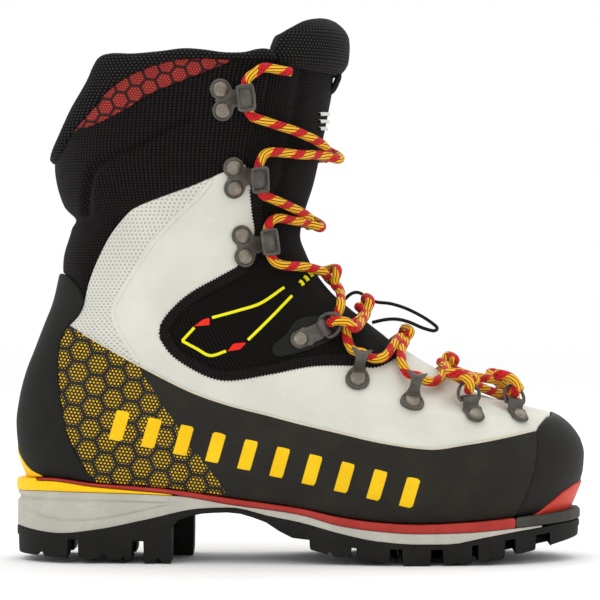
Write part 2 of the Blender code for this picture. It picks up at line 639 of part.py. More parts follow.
def make_hardware():
    metal = material("grey hardware metal", (0.11, 0.09, 0.075), 0.45, 0.6)
    for side, hand in ((-1, "lateral"), (1, "medial")):
        for i, (x, z) in enumerate(HOOKS, 1):
            hardware(f"speed_hook_{hand}_{i}", side, HOOK_LINE, 1.1, 11.5, (x, z), (1, 0.12), metal,
                     [(-0.5, -5.2), (-0.5, 5.2)])
        for i, (x, z, lean) in enumerate(GUIDES, 1):
            hardware(f"lace_guide_{hand}_{i}", side, GUIDE_LINE, 1.1, 6.5, (x, z), (lean, 1), metal,
                     [(-0.5, 0)])
        for i, (x, z, lean) in enumerate(CLIPS, 1):
            hardware(f"ring_clip_{hand}_{i}", side, CLIP_LINE, 0.9, 7.5, (x, z), (lean, 1), metal, [(-1, 0)])
            ring(f"ring_{hand}_{i}", frame_on(x, z, side, (lean, 1)), 9.2, 1.7, metal)
        x, z, lean = ANKLE_RING
        line = CLIP_LINE[:1] + [(x + ANKLE_STRAP, z) for x, z in CLIP_LINE[1:]]
        hardware(f"ankle_ring_clip_{hand}", side, line, 0.9, 7.5, ANKLE_RING[:2], (1, lean), metal,
                 [(-1, 0)])
        ring(f"ankle_ring_{hand}", frame_on(x, z, side, (1, lean)), 10.2, 1.9, metal, ANKLE_STRAP)


# ---------------------------------------------------------------- lace and pull cord
# How the lace passes each kind of hardware: forward along the piece, across it towards the next
# crossing, and out from the boot.
RING_PASS = [(21, -8, 8.5), (17.4, -4.2, 11.4), (12.7, -1, 10.9), (11.4, 0, 7.4), (13.5, 1, 4.0),
             (17.4, 3.6, 3.4), (22, 8, 3.4)]
ANKLE_PASS = [(along + ANKLE_STRAP, across, out) for along, across, out in RING_PASS]
HOOK_PASS = [(18, -12, 4.6), (12.6, -8.5, 5.6), (10.9, 0, 5.9), (12.6, 8.5, 5.6), (18, 12, 4.6)]
# Under a guide's fork, and in a wide curve on both sides of it: x and z from the rivet, and out from the
# boot.
GUIDE_LOOP = [(16.5, 12, 4.6), (12.5, 7, 4.0), (6.5, 6, 4.4), (1.4, 8.2, 5.5), (-3.2, 10, 4.8),
              (-6, 15, 4.4),
              (-6.6, 21, 4.4)]
# The hardware from the toe up: its x and z, which way it points, its pass, and the sign of its across axis.
STOPS = [((x, z), (lean, 1), RING_PASS, 1) for x, z, lean in CLIPS[::-1]]
STOPS += [((x, z), None, GUIDE_LOOP, 1) for x, z, lean in GUIDES[::-1]]
STOPS += [(ANKLE_RING[:2], (1, ANKLE_RING[2]), ANKLE_PASS, -1)]
STOPS += [((x, z), (1, 0.12), HOOK_PASS, -1) for x, z in HOOKS[::-1]]
# The crossings over the middle, from the toe up: the height of the boot's front there.
CROSSINGS = (82.2, 95.5, 110, 126, 143, 173, 208)
UNDER, OVER = 3.2, 9.0  # how far out the two strands of a crossing lie


PULL_LOOP = [(38.5, 9.5, 132.2), (47, 8.5, 131), (55, 7, 128.5), (63, 4.5, 124.5), (68.5, 2, 120.8),
             (70.8, 0, 118.4),
             (69, -1.6, 117), (63, -2.5, 118.6), (56, -3, 121.6), (50, -3, 123), (44, -3, 122.8)]


def front_point(z, out, y=0.0):
    """A point in front of the boot's middle, out from its front."""
    slope = (FRONT(z + 1) - FRONT(z - 1)) / 2
    normal = Vector((1, 0, -slope)).normalized()
    return Vector((float(FRONT(z)), y, z)) + normal * out + Vector((0, float(middle_y(FRONT(z))), 0))


def last_angle(x, z, side):
    """The angle round the last of its point at x and z."""
    back, front = BACK(z), FRONT(z)
    share = ((back + front) / 2 - x) / ((front - back) / 2)
    return side * float(np.arccos(np.clip(share, -1, 1)))


def along_last(start, end, side, out, shares):
    """Points over the boot's surface between two (x, z) places on one side."""
    a, b = last_angle(*start, side), last_angle(*end, side)
    return [offset_from_last(a + (b - a) * t, start[1] + (end[1] - start[1]) * t, out) for t in shares]


def stop_points(stop, side):
    (x, z), forward, passing, hand = stop
    if forward is None:
        return [offset_from_last(last_angle(x + dx, z + dz, side), z + dz, out) for dx, dz, out in passing]
    matrix = frame_on(x, z, side, forward)
    return [matrix @ Vector((along, across * -side * -hand, out)) for along, across, out in passing]


def strand(start_side):
    """Half of the lace, from the middle at the toe to its end on the tongue, by the collar."""
    side = start_side
    points = [front_point(79.6, UNDER)]
    for i, stop in enumerate(STOPS):
        arriving = stop_points(stop, side)
        if i > 1:
            z = CROSSINGS[i - 1]
            points += along_last((FRONT(z), z), (arriving[0].x, arriving[0].z), side, 4.2, (0.35, 0.7))
        points += arriving
        if i < len(CROSSINGS):
            z = CROSSINGS[i]
            out = OVER if (i % 2 == 0) == (start_side < 0) else UNDER
            leaving = (arriving[-1].x, arriving[-1].z)
            if i > 0:
                points += along_last(leaving, (FRONT(z), z), side, 4.2, (0.3, 0.65))
            points += [front_point(z - 1, out, side * 4.5), front_point(z + 1, out, side * -4.5)]
            side = -side
    return points + along_last((-19.5, 250), (-7, 248.5), side, 5.0, (0, 0.5, 1))


def through(points, step):
    """A smooth line through the points, with a point about every step."""
    padded = [points[0] * 2 - points[1], *points, points[-1] * 2 - points[-2]]
    line = [points[0]]
    for a, b, c, d in zip(padded, padded[1:], padded[2:], padded[3:]):
        count = max(1, round((c - b).length / step))
        for i in range(1, count + 1):
            t = i / count
            line.append(0.5 * (2 * b + (c - a) * t + (2 * a - 5 * b + 4 * c - d) * t * t
                               + (3 * b - a - 3 * c + d) * t ** 3))
    return line


def tube(name, line, diameter, paint, smoothness):
    curve = bpy.data.curves.new(name, "CURVE")
    curve.dimensions = "3D"
    curve.bevel_depth = diameter / 2 * MM
    curve.bevel_resolution = smoothness
    curve.use_fill_caps = True
    spline = curve.splines.new("POLY")
    spline.points.add(len(line) - 1)
    for point, place in zip(spline.points, line):
        point.co = (*(place * MM), 1)
    obj = bpy.data.objects.new(name, curve)
    parts.objects.link(obj)
    curve.materials.append(paint)
    return obj


def make_laces():
    cord = material("lace cord", (0.55, 0.05, 0.03), 0.7)
    outer, inner = strand(-1), strand(1)
    line = through(outer[:0:-1] + inner, 12)
    tube("lace", line, LACE, cord, 2)
    loop = [front_point(132, 1.0, 6), front_point(131.5, 6, 6), front_point(129.5, 9.2, 9.5)]
    loop += [Vector(p) for p in PULL_LOOP] + [front_point(120.5, 1.0, -3)]
    tube("pull_cord", through(loop, 4.5), CORD, material("pull cord", (0.012, 0.012, 0.012), 0.7), 2)


# ---------------------------------------------------------------- the boot
clear_scene()
parts = collection("mountaineering_boot")
cutters = collection("cutters")
make_outsole()
make_midsole()
make_plates()
make_inner_sole()
outer_blank = make_foot_upper()
make_cuff_upper(outer_blank)
make_top(outer_blank)
make_tab()
make_linings()
make_hardware()
make_laces()
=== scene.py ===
"""The looks of a mountaineering boot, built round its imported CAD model.

The boot is for the right foot: +X runs to the toe, -Y to the outer (lateral) side and +Z up. Sizes here are
written in millimetres and turned into metres as each mesh is made.
"""

import math

import bmesh
import bpy
import numpy as np
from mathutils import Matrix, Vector
from mathutils.geometry import delaunay_2d_cdt


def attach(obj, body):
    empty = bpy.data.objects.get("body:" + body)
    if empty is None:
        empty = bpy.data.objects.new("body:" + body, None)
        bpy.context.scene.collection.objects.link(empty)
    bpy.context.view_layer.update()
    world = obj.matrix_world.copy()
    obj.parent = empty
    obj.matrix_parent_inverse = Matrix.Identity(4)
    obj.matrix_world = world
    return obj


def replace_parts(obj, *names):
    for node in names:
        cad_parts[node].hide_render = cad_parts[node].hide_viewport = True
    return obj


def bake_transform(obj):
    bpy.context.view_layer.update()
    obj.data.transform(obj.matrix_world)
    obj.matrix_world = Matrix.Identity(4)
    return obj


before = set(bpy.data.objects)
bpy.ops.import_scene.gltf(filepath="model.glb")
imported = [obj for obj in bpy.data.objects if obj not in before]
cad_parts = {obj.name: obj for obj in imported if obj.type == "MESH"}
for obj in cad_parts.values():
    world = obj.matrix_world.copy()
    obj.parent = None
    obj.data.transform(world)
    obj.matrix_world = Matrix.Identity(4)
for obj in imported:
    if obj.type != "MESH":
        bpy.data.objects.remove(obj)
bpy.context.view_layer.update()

MM = 0.001
SIDES = {"lateral": -1, "medial": 1}


# ---------------------------------------------------------------- the boot's surface, as in the CAD model
def smooth(points):
    """A smooth curve through (t, value) points that never overshoots between them."""
    t, v = np.array(points, float).T
    steps, rises = np.diff(t), np.diff(v) / np.diff(t)
    slopes = np.zeros(len(t))
    for i in range(1, len(t) - 1):
        before, after = rises[i - 1], rises[i]
        if before * after > 0:
            a, b = 2 * steps[i] + steps[i - 1], steps[i] + 2 * steps[i - 1]
            slopes[i] = (a + b) / (a / before + b / after)
    slopes[0], slopes[-1] = rises[0], rises[-1]

    def value(at):
        at = np.clip(at, t[0], t[-1])
        i = np.clip(np.searchsorted(t, at) - 1, 0, len(t) - 2)
        h = steps[i]
        s = (at - t[i]) / h
        return (
            (1 + 2 * s) * (1 - s) ** 2 * v[i] + s * (1 - s) ** 2 * h * slopes[i]
            + s * s * (3 - 2 * s) * v[i + 1] + s * s * (s - 1) * h * slopes[i + 1]
        )

    return value


BACK = smooth([
    (17, -132), (41, -138.5), (57, -143.7), (70, -144.7), (82, -143.2), (95, -140), (107, -135.4),
    (119, -130.8), (132, -125.8), (144, -123), (156, -120.5), (168, -116.6), (174, -115.2), (182, -120.5),
    (194, -124.6), (206, -127), (232, -127.5), (280, -126),
])
FRONT = smooth([
    (13, 120), (23, 136), (34, 142), (46, 145.9), (54, 146.4), (60, 145), (66, 141.4), (72, 135), (75, 129),
    (78, 117), (80, 109), (83, 97), (88, 85), (97, 71), (107, 54.5), (117, 41), (130, 24.5), (137, 16.5),
    (148, 8), (157, 3.5), (166, 0.5), (175, 2), (193, 7.5), (219, 13), (247, 19), (256, 22.5), (266, 22.5),
    (280, 14),
])
FOOT_OUTER = smooth([(-145, 34), (-110, 35.5), (-70, 36), (-30, 38), (15, 44), (55, 50), (85, 49), (115, 45),
                     (146, 41)])
FOOT_INNER = smooth([(-145, 34), (-110, 35), (-70, 33), (-30, 33), (15, 41), (55, 50), (85, 50), (115, 47), (146, 42)])
SHAFT = smooth([(17, 34), (60, 36), (100, 36), (130, 37), (160, 38), (174, 38.5), (190, 43), (212, 47), (262, 50)])
ROUND_BACK = smooth([(17, 36), (80, 40), (130, 46), (174, 50), (210, 58), (262, 62)])
ROUND_FRONT = smooth([(17, 46), (55, 48), (70, 56), (82, 66), (100, 76), (135, 86), (165, 74), (262, 72)])
BULGE = smooth([(17, 0.90), (32, 0.95), (52, 1.0), (80, 0.98), (262, 0.98)])
FOOT_TO_SHAFT = (78.0, 150.0)
TOE_SWING = 6.0
FEATHER = smooth([
    (-146, 41.8), (-138, 42.6), (-127, 43.2), (-103, 40.7), (-80, 39), (-62, 37.2), (-35, 33.2), (-20, 31.2),
    (0, 28.4), (20, 24.2), (39, 21.8), (60, 20.8), (80, 21.5), (108, 23.7), (146, 26.6),
])


def ease(t):
    t = np.clip(t, 0, 1)
    return t * t * (3 - 2 * t)


def cap(distance, length):
    """0 at a round end, rising along a quarter of an ellipse to 1."""
    t = 1 - np.clip(distance / length, 0, 1)
    return np.sqrt(np.maximum(0, 1 - t * t))


def middle_y(x):
    return TOE_SWING * np.clip((x - 20) / 125, 0, 1) ** 2


def on_last(angle, z):
    """Points of the surface at angles round it (0 at the back, pi at the front, lateral below 0) and heights."""
    angle, z = np.broadcast_arrays(np.asarray(angle, float), np.asarray(z, float))
    back, front = BACK(z), FRONT(z)
    x = (back + front) / 2 - (front - back) / 2 * np.cos(angle)
    side = np.where(np.sin(angle) < 0, -1.0, 1.0)
    foot = np.where(side < 0, FOOT_OUTER(x), FOOT_INNER(x)) * BULGE(z)
    share = ease((z - FOOT_TO_SHAFT[0]) / (FOOT_TO_SHAFT[1] - FOOT_TO_SHAFT[0]))
    half = (foot * (1 - share) + SHAFT(z) * share) * cap(x - back, ROUND_BACK(z)) * cap(front - x, ROUND_FRONT(z))
    return np.stack([x, middle_y(x) + side * half, z], -1)


def normals_on_last(angle, z):
    d = 0.015
    around = on_last(angle + d, z) - on_last(angle - d, z)
    up = on_last(angle, z + 0.6) - on_last(angle, z - 0.6)
    out = np.cross(up, around)
    return out / np.maximum(1e-9, np.linalg.norm(out, axis=-1, keepdims=True))


def off_last(angle, z, height):
    """Points at a height off the surface."""
    height = np.asarray(height, float)
    return on_last(angle, z) + normals_on_last(angle, z) * height[..., None]


def angle_at(x, z, side):
    """The angle round the last of its point at x and z, on one side."""
    back, front = BACK(z), FRONT(z)
    share = ((back + front) / 2 - x) / ((front - back) / 2)
    return side * np.arccos(np.clip(share, -1, 1))


# ---------------------------------------------------------------- a flat map of the surface, for cutting panels
# u runs round the boot in mm, from the back or from the front. v runs up it, and follows the slope of the instep.
U_SCALE = 60.0  # mm of u for a radian round the boot
LEVELS = np.linspace(13, 280, 1200)
SLOPE = np.gradient(FRONT(LEVELS), LEVELS)
V_LEVELS = np.concatenate([[0], np.cumsum(np.sqrt(1 + 0.6 * np.minimum(SLOPE**2, 30))[1:] * np.diff(LEVELS))])


def v_of(z):
    return np.interp(z, LEVELS, V_LEVELS)


def z_of(v):
    return np.interp(v, V_LEVELS, LEVELS)


def to_map(points, side, wrap):
    """(x, z) points on one side as (u, v). wrap is front or back: where u is 0."""
    points = np.array(points, float)
    angle = angle_at(points[:, 0], points[:, 1], 1)
    u = (np.pi - angle) if wrap == "front" else angle
    return np.stack([side * u * U_SCALE, v_of(points[:, 1])], -1)


def from_map(uv, wrap):
    """(u, v) points as angles and heights."""
    angle = uv[:, 0] / U_SCALE
    if wrap == "front":
        angle = np.where(angle < 0, -np.pi - angle, np.pi - angle)
    return angle, z_of(uv[:, 1])


def walk(points, step):
    """The same line with points at even steps."""
    points = np.array(points, float)
    lengths = np.linalg.norm(np.diff(points, axis=0), axis=1)
    total = np.concatenate([[0], np.cumsum(lengths)])
    count = max(2, int(round(total[-1] / step)) + 1)
    at = np.linspace(0, total[-1], count)
    return np.stack([np.interp(at, total, points[:, k]) for k in range(points.shape[1])], -1)


def walk_round(points, step):
    """A closed line with points at even steps."""
    return walk([*points, points[0]], step)[:-1]


def blended(p, q, start, end, t):
    """The point at t on the straight line that is at p at start and at q at end."""
    return (end - t) / (end - start) * p + (t - start) / (end - start) * q


def curve_at(a, b, c, d, t):
    """The place at share t from b to c on a smooth curve (Catmull-Rom) through a, b, c and d."""
    return 0.5 * (2 * b + (c - a) * t + (2 * a - 5 * b + 4 * c - d) * t * t + (3 * b - a - 3 * c + d) * t**3)


def curved(points, step=2.0):
    """A smooth line through the points (centripetal Catmull-Rom), sampled about every step."""
    p = [np.array(q, float) for q in points]
    p = [2 * p[0] - p[1], *p, 2 * p[-1] - p[-2]]
    line = [p[1]]
    for a, b, c, d in zip(p, p[1:], p[2:], p[3:]):
        t1 = max(1e-6, np.linalg.norm(b - a)) ** 0.5
        t2 = t1 + max(1e-6, np.linalg.norm(c - b)) ** 0.5
        t3 = t2 + max(1e-6, np.linalg.norm(d - c)) ** 0.5
        count = max(1, int(round(np.linalg.norm(c - b) / step)))
        for t in np.linspace(t1, t2, count + 1)[1:]:
            middle = blended(b, c, t1, t2, t)
            before = blended(blended(a, b, 0, t1, t), middle, 0, t2, t)
            after = blended(middle, blended(c, d, t2, t3, t), t1, t3, t)
            line.append(blended(before, after, t1, t2, t))
    return [tuple(q) for q in line]


def inside(polygon, points):
    """Which points lie inside a closed polygon."""
    x, y = points[:, 0], points[:, 1]
    result = np.zeros(len(points), bool)
    for (x1, y1), (x2, y2) in zip(polygon, np.roll(polygon, -1, axis=0)):
        crosses = (y1 > y) != (y2 > y)
        if abs(y2 - y1) > 1e-12:
            result ^= crosses & (x < (x2 - x1) * (y - y1) / (y2 - y1) + x1)
    return result


def distance_to(line, points, closed=False):
    """The distance from each point to a line of points."""
    line = np.array(line, float)
    ends = np.roll(line, -1, axis=0) if closed else line[1:]
    starts = line if closed else line[:-1]
    best = np.full(len(points), 1e9)
    for a, b in zip(starts, ends):
        ab = b - a
        t = np.clip(((points - a) @ ab) / max(1e-12, ab @ ab), 0, 1)
        best = np.minimum(best, np.linalg.norm(points - (a + t[:, None] * ab), axis=1))
    return best


def inset_loop(loop, by):
    """A closed loop moved inwards, point by point."""
    area = np.sum(loop[:, 0] * np.roll(loop[:, 1], -1) - np.roll(loop[:, 0], -1) * loop[:, 1])
    along = np.roll(loop, -1, axis=0) - np.roll(loop, 1, axis=0)
    along /= np.maximum(1e-9, np.linalg.norm(along, axis=1, keepdims=True))
    return loop + np.stack([-along[:, 1], along[:, 0]], -1) * by * (1 if area > 0 else -1)


# ---------------------------------------------------------------- making objects
def put(name, data):
    """A new object in the scene."""
    obj = bpy.data.objects.new(name, data)
    bpy.context.scene.collection.objects.link(obj)
    return obj


def new_object(name, vertices, faces, material, uvs=None, sides=None):
    """A mesh object from points in mm. uvs is one (u, v) in mm a vertex, and sides one (x, z)."""
    mesh = bpy.data.meshes.new(name)
    mesh.from_pydata([tuple(c * MM for c in p) for p in vertices], [], [tuple(int(i) for i in f) for f in faces])
    for label, values in (("UVMap", uvs), ("Side", sides)):
        if values is not None:
            layer = mesh.uv_layers.new(name=label)
            loops = np.zeros(len(mesh.loops), int)
            mesh.loops.foreach_get("vertex_index", loops)
            layer.data.foreach_set("uv", (np.array(values, float)[loops] * MM).ravel())
    mesh.polygons.foreach_set("use_smooth", [True] * len(mesh.polygons))
    mesh.materials.append(material)
    bm = bmesh.new()
    bm.from_mesh(mesh)
    bmesh.ops.recalc_face_normals(bm, faces=bm.faces)
    bm.to_mesh(mesh)
    bm.free()
    return put(name, mesh)


def bend(obj):
    """Bakes the piece's placement into its mesh."""
    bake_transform(obj)
    return obj


def map_loop(outline, where):
    """A panel's outline as a closed loop of the map. where is lateral, medial, front or back."""
    if where in SIDES:
        wrap = "back"
        loop = walk_round(to_map(outline, SIDES[where], wrap), 1.5)
    else:
        wrap = where
        one = to_map(outline, -1, wrap)
        other = to_map(outline, 1, wrap)[::-1]
        loop = walk_round(np.vstack([one, other]), 1.5)
    return loop, wrap


def panel(name, outline, where, material, top=0.0, thick=1.6, edge=1.0, height=None, grid=2.2, back=False):
    """A panel of the upper: a piece of the surface inside an outline, with rounded edges.

    outline is (x, z) points: closed for one side, or open for a panel that wraps round the front or the back, from
    one point on the boot's middle to the other. height(x, z, inwards) raises the surface. back closes it.
    """
    loop, wrap = map_loop(outline, where)
    rings = [loop, inset_loop(loop, edge * 0.3), inset_loop(loop, edge)]
    low, high = loop.min(axis=0), loop.max(axis=0)
    columns = np.arange(low[0], high[0] + grid, grid)
    rows = np.arange(low[1], high[1] + grid, grid * 0.87)
    u, v = np.meshgrid(columns, rows)
    u = u + (np.arange(len(rows)) % 2)[:, None] * grid / 2
    points = np.stack([u.ravel(), v.ravel()], -1)
    points = points[inside(loop, points)]
    points = points[distance_to(loop, points, True) > edge + grid * 0.45]
    for ring in rings[1:]:
        clear = inside(loop, ring) & (distance_to(loop, ring, True) > edge * 0.2)
        points = np.vstack([points, ring[clear]])
    every = np.vstack([loop, points])
    count = len(loop)
    borders = [(i, (i + 1) % count) for i in range(count)]
    verts, _, faces, *_ = delaunay_2d_cdt([Vector(p) for p in every], borders, [], 1, 1e-5)
    flat = np.array([tuple(p) for p in verts])
    inwards = distance_to(loop, flat, True)
    angle, z = from_map(flat, wrap)
    base = on_last(angle, z)
    drop = edge * 0.7 * (1 - np.sqrt(np.clip(1 - (1 - np.clip(inwards / edge, 0, 1)) ** 2, 0, 1)))
    lift = np.full(len(flat), float(top)) - drop
    if height:
        lift = lift + height(base[:, 0], base[:, 2], inwards)
    rim = border_loops(faces)
    used = list(range(len(flat))) if back else sorted({i for e in rim for i in e})
    lower = {i: len(flat) + k for k, i in enumerate(used)}
    under = off_last(angle, z, np.full(len(flat), float(top) - thick))[used]
    vertices = [*off_last(angle, z, lift), *under]
    all_faces = [*faces, *([lower[i] for i in f[::-1]] for f in faces if back)]
    all_faces += [(b, a, lower[a], lower[b]) for a, b in rim]
    uvs = np.vstack([flat, flat[used] + (0, thick if back else 0)])
    sides = np.vstack([base, base[used]])[:, [0, 2]]
    return new_object(name, vertices, all_faces, material, uvs, sides)


def border_loops(faces):
    """The edges that only one face uses, in the direction of that face."""
    seen = {}
    for f in faces:
        for a, b in zip(f, [*f[1:], f[0]]):
            seen[(a, b)] = True
    return [(a, b) for a, b in seen if (b, a) not in seen]


# ---------------------------------------------------------------- materials
def srgb(r, g, b):
    """A colour seen on a screen, as the shader wants it."""
    return tuple((c / 255 / 12.92) if c < 10 else ((c / 255 + 0.055) / 1.055) ** 2.4 for c in (r, g, b)) + (1,)


ROW = 0.866  # the distance between rows of a triangular lattice, as a share of its pitch


class Value:
    """The value of a node's output, for sums and products."""

    def __init__(self, paint, socket):
        self.paint, self.socket = paint, socket

    def __add__(self, other):
        return self.paint.math("ADD", self, other)

    def __mul__(self, other):
        return self.paint.math("MULTIPLY", self, other)

    __radd__, __rmul__ = __add__, __mul__


class Paint:
    """Builds one material's nodes from values, numbers and screen colours, with lengths in mm."""

    def __init__(self, name):
        self.material = bpy.data.materials.new(name)
        self.material.use_nodes = True
        self.tree = self.material.node_tree
        self.shader = self.tree.nodes["Principled BSDF"]

    def node(self, kind, inputs=(), **settings):
        made = self.tree.nodes.new(kind)
        for key, value in settings.items():
            setattr(made, key, value)
        for key, value in dict(inputs).items():
            self.feed(made.inputs[key], value)
        return made

    def value(self, kind, inputs=(), output=0, **settings):
        return Value(self, self.node(kind, inputs, **settings).outputs[output])

    def feed(self, socket, value):
        if isinstance(value, Value):
            self.tree.links.new(value.socket, socket)
        elif value is not None:
            socket.default_value = srgb(*value) if isinstance(value, tuple) else value

    def math(self, operation, a, b=None, c=None):
        return self.value("ShaderNodeMath", {0: a, 1: b, 2: c}, operation=operation)

    def uv(self, layer="UVMap"):
        """The mesh's own map in mm, as x and y."""
        parts = self.node("ShaderNodeSeparateXYZ", {0: self.value("ShaderNodeUVMap", uv_map=layer)})
        return tuple(Value(self, parts.outputs[k]) * 1000.0 for k in (0, 1))

    def place(self):
        """The place in the object, in mm."""
        coords = self.value("ShaderNodeTexCoord", output="Object")
        return self.value("ShaderNodeVectorMath", {0: coords, 3: 1000.0}, operation="SCALE")

    def noise(self, where, scale, detail=2.0, rough=0.5):
        inputs = {"Vector": where, "Scale": scale, "Detail": detail, "Roughness": rough}
        return self.value("ShaderNodeTexNoise", inputs, "Fac")

    def cells(self, where, scale):
        return self.value("ShaderNodeTexVoronoi", {"Vector": where, "Scale": scale}, "Distance")

    def ramp(self, value, low, high):
        """0 below low, 1 above high, smooth between."""
        inputs = {"Value": value, "From Min": low, "From Max": high}
        return self.value("ShaderNodeMapRange", inputs, "Result", interpolation_type="SMOOTHSTEP")

    def mix(self, share, a, b):
        return self.value("ShaderNodeMix", {0: share, 6: a, 7: b}, 2, data_type="RGBA")

    def wave(self, value, period):
        """0 to 1 and back over each period."""
        return (self.math("SINE", value * (2 * math.pi / period)) + 1.0) * 0.5

    def dots(self, x, y, pitch):
        """The distance to the nearest point of a triangular lattice."""
        best = None
        for shift in (0.0, 0.5):
            dx = self.math("WRAP", x + shift * pitch, pitch / 2, -pitch / 2)
            dy = self.math("WRAP", y + shift * pitch * 2 * ROW, pitch * ROW, -pitch * ROW)
            far = self.math("SQRT", dx * dx + dy * dy)
            best = far if best is None else self.math("MINIMUM", best, far)
        return best

    def honeycomb(self, x, y, cell, turn, dot, wall):
        """Dots in the cells of a honeycomb: 1 on a dot, and 1 between the cells' dots and their walls."""
        a = x * math.cos(turn) + y * math.sin(turn)
        b = x * -math.sin(turn) + y * math.cos(turn)
        found = []
        for shift in (0.0, 0.5):
            dx = self.math("WRAP", a + shift * cell, cell / 2, -cell / 2)
            dy = self.math("WRAP", b + shift * cell * 2 * ROW, cell * ROW, -cell * ROW)
            found.append((dx, dy, dx * dx + dy * dy))
        (dx, dy, far), (dx2, dy2, far2) = found
        second = self.math("LESS_THAN", far2, far)
        dx = dx + second * (dx2 + dx * -1.0)
        dy = dy + second * (dy2 + dy * -1.0)
        ax, ay = self.math("ABSOLUTE", dx), self.math("ABSOLUTE", dy)
        edge = self.math("MAXIMUM", ax, ax * 0.5 + ay * ROW)
        open_cell = self.math("LESS_THAN", edge, cell / 2 - wall)
        spot = self.ramp(self.dots(dy, dx, dot), dot * 0.33, dot * 0.22)
        return spot * open_cell, open_cell

    def bump(self, height, depth):
        """Bump of a depth in mm, for a height from 0 to 1."""
        made = self.value("ShaderNodeBump", {"Height": height, "Strength": 1.0, "Distance": depth * MM})
        self.feed(self.shader.inputs["Normal"], made)

    def finish(self, colour, roughness, metallic=0.0, sheen=0.0, specular=0.5):
        self.feed(self.shader.inputs["Base Color"], colour)
        self.feed(self.shader.inputs["Roughness"], roughness)
        self.shader.inputs["Metallic"].default_value = metallic
        self.shader.inputs["Sheen Weight"].default_value = sheen
        self.shader.inputs["Specular IOR Level"].default_value = specular
        return self.material


def leather_paint(name, light, dark, holes=False):
    """Off-white microfibre leather: a fine grain, faint cloudiness and, on the quarter, rows of pin holes."""
    p = Paint(name)
    place = p.place()
    grain = p.noise(place, 1.9, 4.0, 0.65)
    fine = p.cells(place, 1.6)
    cloud = p.noise(place, 0.035, 3.0)
    colour = p.mix(p.ramp(cloud * 0.7 + grain * 0.35, 0.35, 0.75), dark, light)
    height = grain * 0.6 + fine * 0.5
    if holes:
        x, y = p.uv()
        hole = p.ramp(p.dots(x, y, 2.3), 0.62, 0.36)
        colour = p.mix(hole * 0.55, colour, (150, 147, 136))
        height = height + hole * -2.2
    p.bump(height, 0.16)
    return p.finish(colour, 0.62, sheen=0.05, specular=0.25)


def rubber_paint(name, base, worn, roughness=0.7, grain=1.1, depth=0.12, print_on=None):
    """Moulded rubber: a fine pebble, and paler where it is scuffed."""
    p = Paint(name)
    place = p.place()
    pebble = p.noise(place, grain, 4.0, 0.6)
    patches = p.noise(place, 0.06, 4.0, 0.6)
    colour = p.mix(p.ramp(patches * 0.7 + pebble * 0.35, 0.42, 0.72), base, worn)
    if print_on:
        colour = print_on(p, colour)
    p.bump(pebble, depth)
    return p.finish(colour, roughness - 0.08 + patches * 0.16, specular=0.18)


def knit_paint(name, base, light, pitch=1.3, depth=0.3):
    """Dense black knit: columns of small loops."""
    p = Paint(name)
    x, y = p.uv()
    columns = p.wave(x, pitch)
    rows = p.wave(y + columns * (pitch * 0.35), pitch * 0.75)
    fuzz = p.noise(p.place(), 1.3, 3.0)
    loops = columns * rows * 0.7 + fuzz * 0.45
    colour = p.mix(p.ramp(loops, 0.3, 0.95), base, light)
    p.bump(loops, depth)
    return p.finish(colour, 0.9, sheen=0.04, specular=0.08)


def dotted_paint(name, base, dot, pitch):
    """Black spacer mesh over foam, with a small lighter dot in each cell."""
    p = Paint(name)
    x, y = p.uv()
    far = p.dots(x, y, pitch)
    fuzz = p.noise(p.place(), 1.6, 3.0)
    spot = p.ramp(far, pitch * 0.34, pitch * 0.16)
    colour = p.mix(spot * (0.45 + fuzz * 0.6), base, dot)
    p.bump(p.ramp(far, 0.2, pitch * 0.55) * 0.8 + fuzz * 0.3, 0.35)
    return p.finish(colour, 0.9, sheen=0.03, specular=0.1)


def hexagon_paint():
    """Red mesh: small red dots on black, in the cells of a honeycomb with dark walls."""
    p = Paint("red_hexagon_mesh")
    x, y = p.uv("Side")
    spot, cell = p.honeycomb(x, y, HEX_CELL, COMB_TURN, HEX_DOT, HEX_WALL)
    fuzz = p.noise(p.place(), 0.12, 3.0)
    red = p.mix(p.ramp(fuzz, 0.3, 0.7), (188, 58, 50), (208, 74, 62))
    colour = p.mix(cell * 0.5, (34, 15, 14), (140, 38, 32))
    colour = p.mix(spot, colour, red)
    p.bump(cell * 0.5 + spot * 0.4, 0.3)
    return p.finish(colour, 0.7, sheen=0.05, specular=0.15)


RAND_CELL, RAND_DOT, RAND_WALL = 10.9, 1.82, 0.9  # the rand's printed honeycomb
HEX_CELL, HEX_DOT, HEX_WALL = 8.0, 1.4, 0.55  # the honeycomb of the red mesh panels
COMB_TURN = 0.4  # how far both are turned, in radians


def honeycomb_print(p, colour):
    """Yellow dots in honeycomb cells over the rear of the rand, up to a slanting edge."""
    x, z = p.uv("Side")
    spot, _ = p.honeycomb(x, z, RAND_CELL, COMB_TURN, RAND_DOT, RAND_WALL)
    edge = p.value("ShaderNodeMapRange", {"Value": z, "From Min": 98.0, "From Max": 38.0, "To Min": -80.5,
                                          "To Max": -38.0}, "Result")
    bulge = p.math("SINE", (z + -38.0) * (math.pi / 60)) * -1.5
    printed = p.math("LESS_THAN", x, edge + bulge)
    return p.mix(spot * printed, colour, (226, 180, 8))


def metal_paint(name, base, worn, roughness, metallic):
    """Cast or painted metal with fine pitting and brighter rubbed patches."""
    p = Paint(name)
    place = p.place()
    pits = p.noise(place, 1.4, 4.0, 0.6)
    rub = p.noise(place, 0.22, 3.0, 0.6)
    colour = p.mix(p.ramp(rub, 0.4, 0.75), base, worn)
    p.bump(pits, 0.07)
    return p.finish(colour, roughness - 0.1 + rub * 0.2, metallic=metallic)


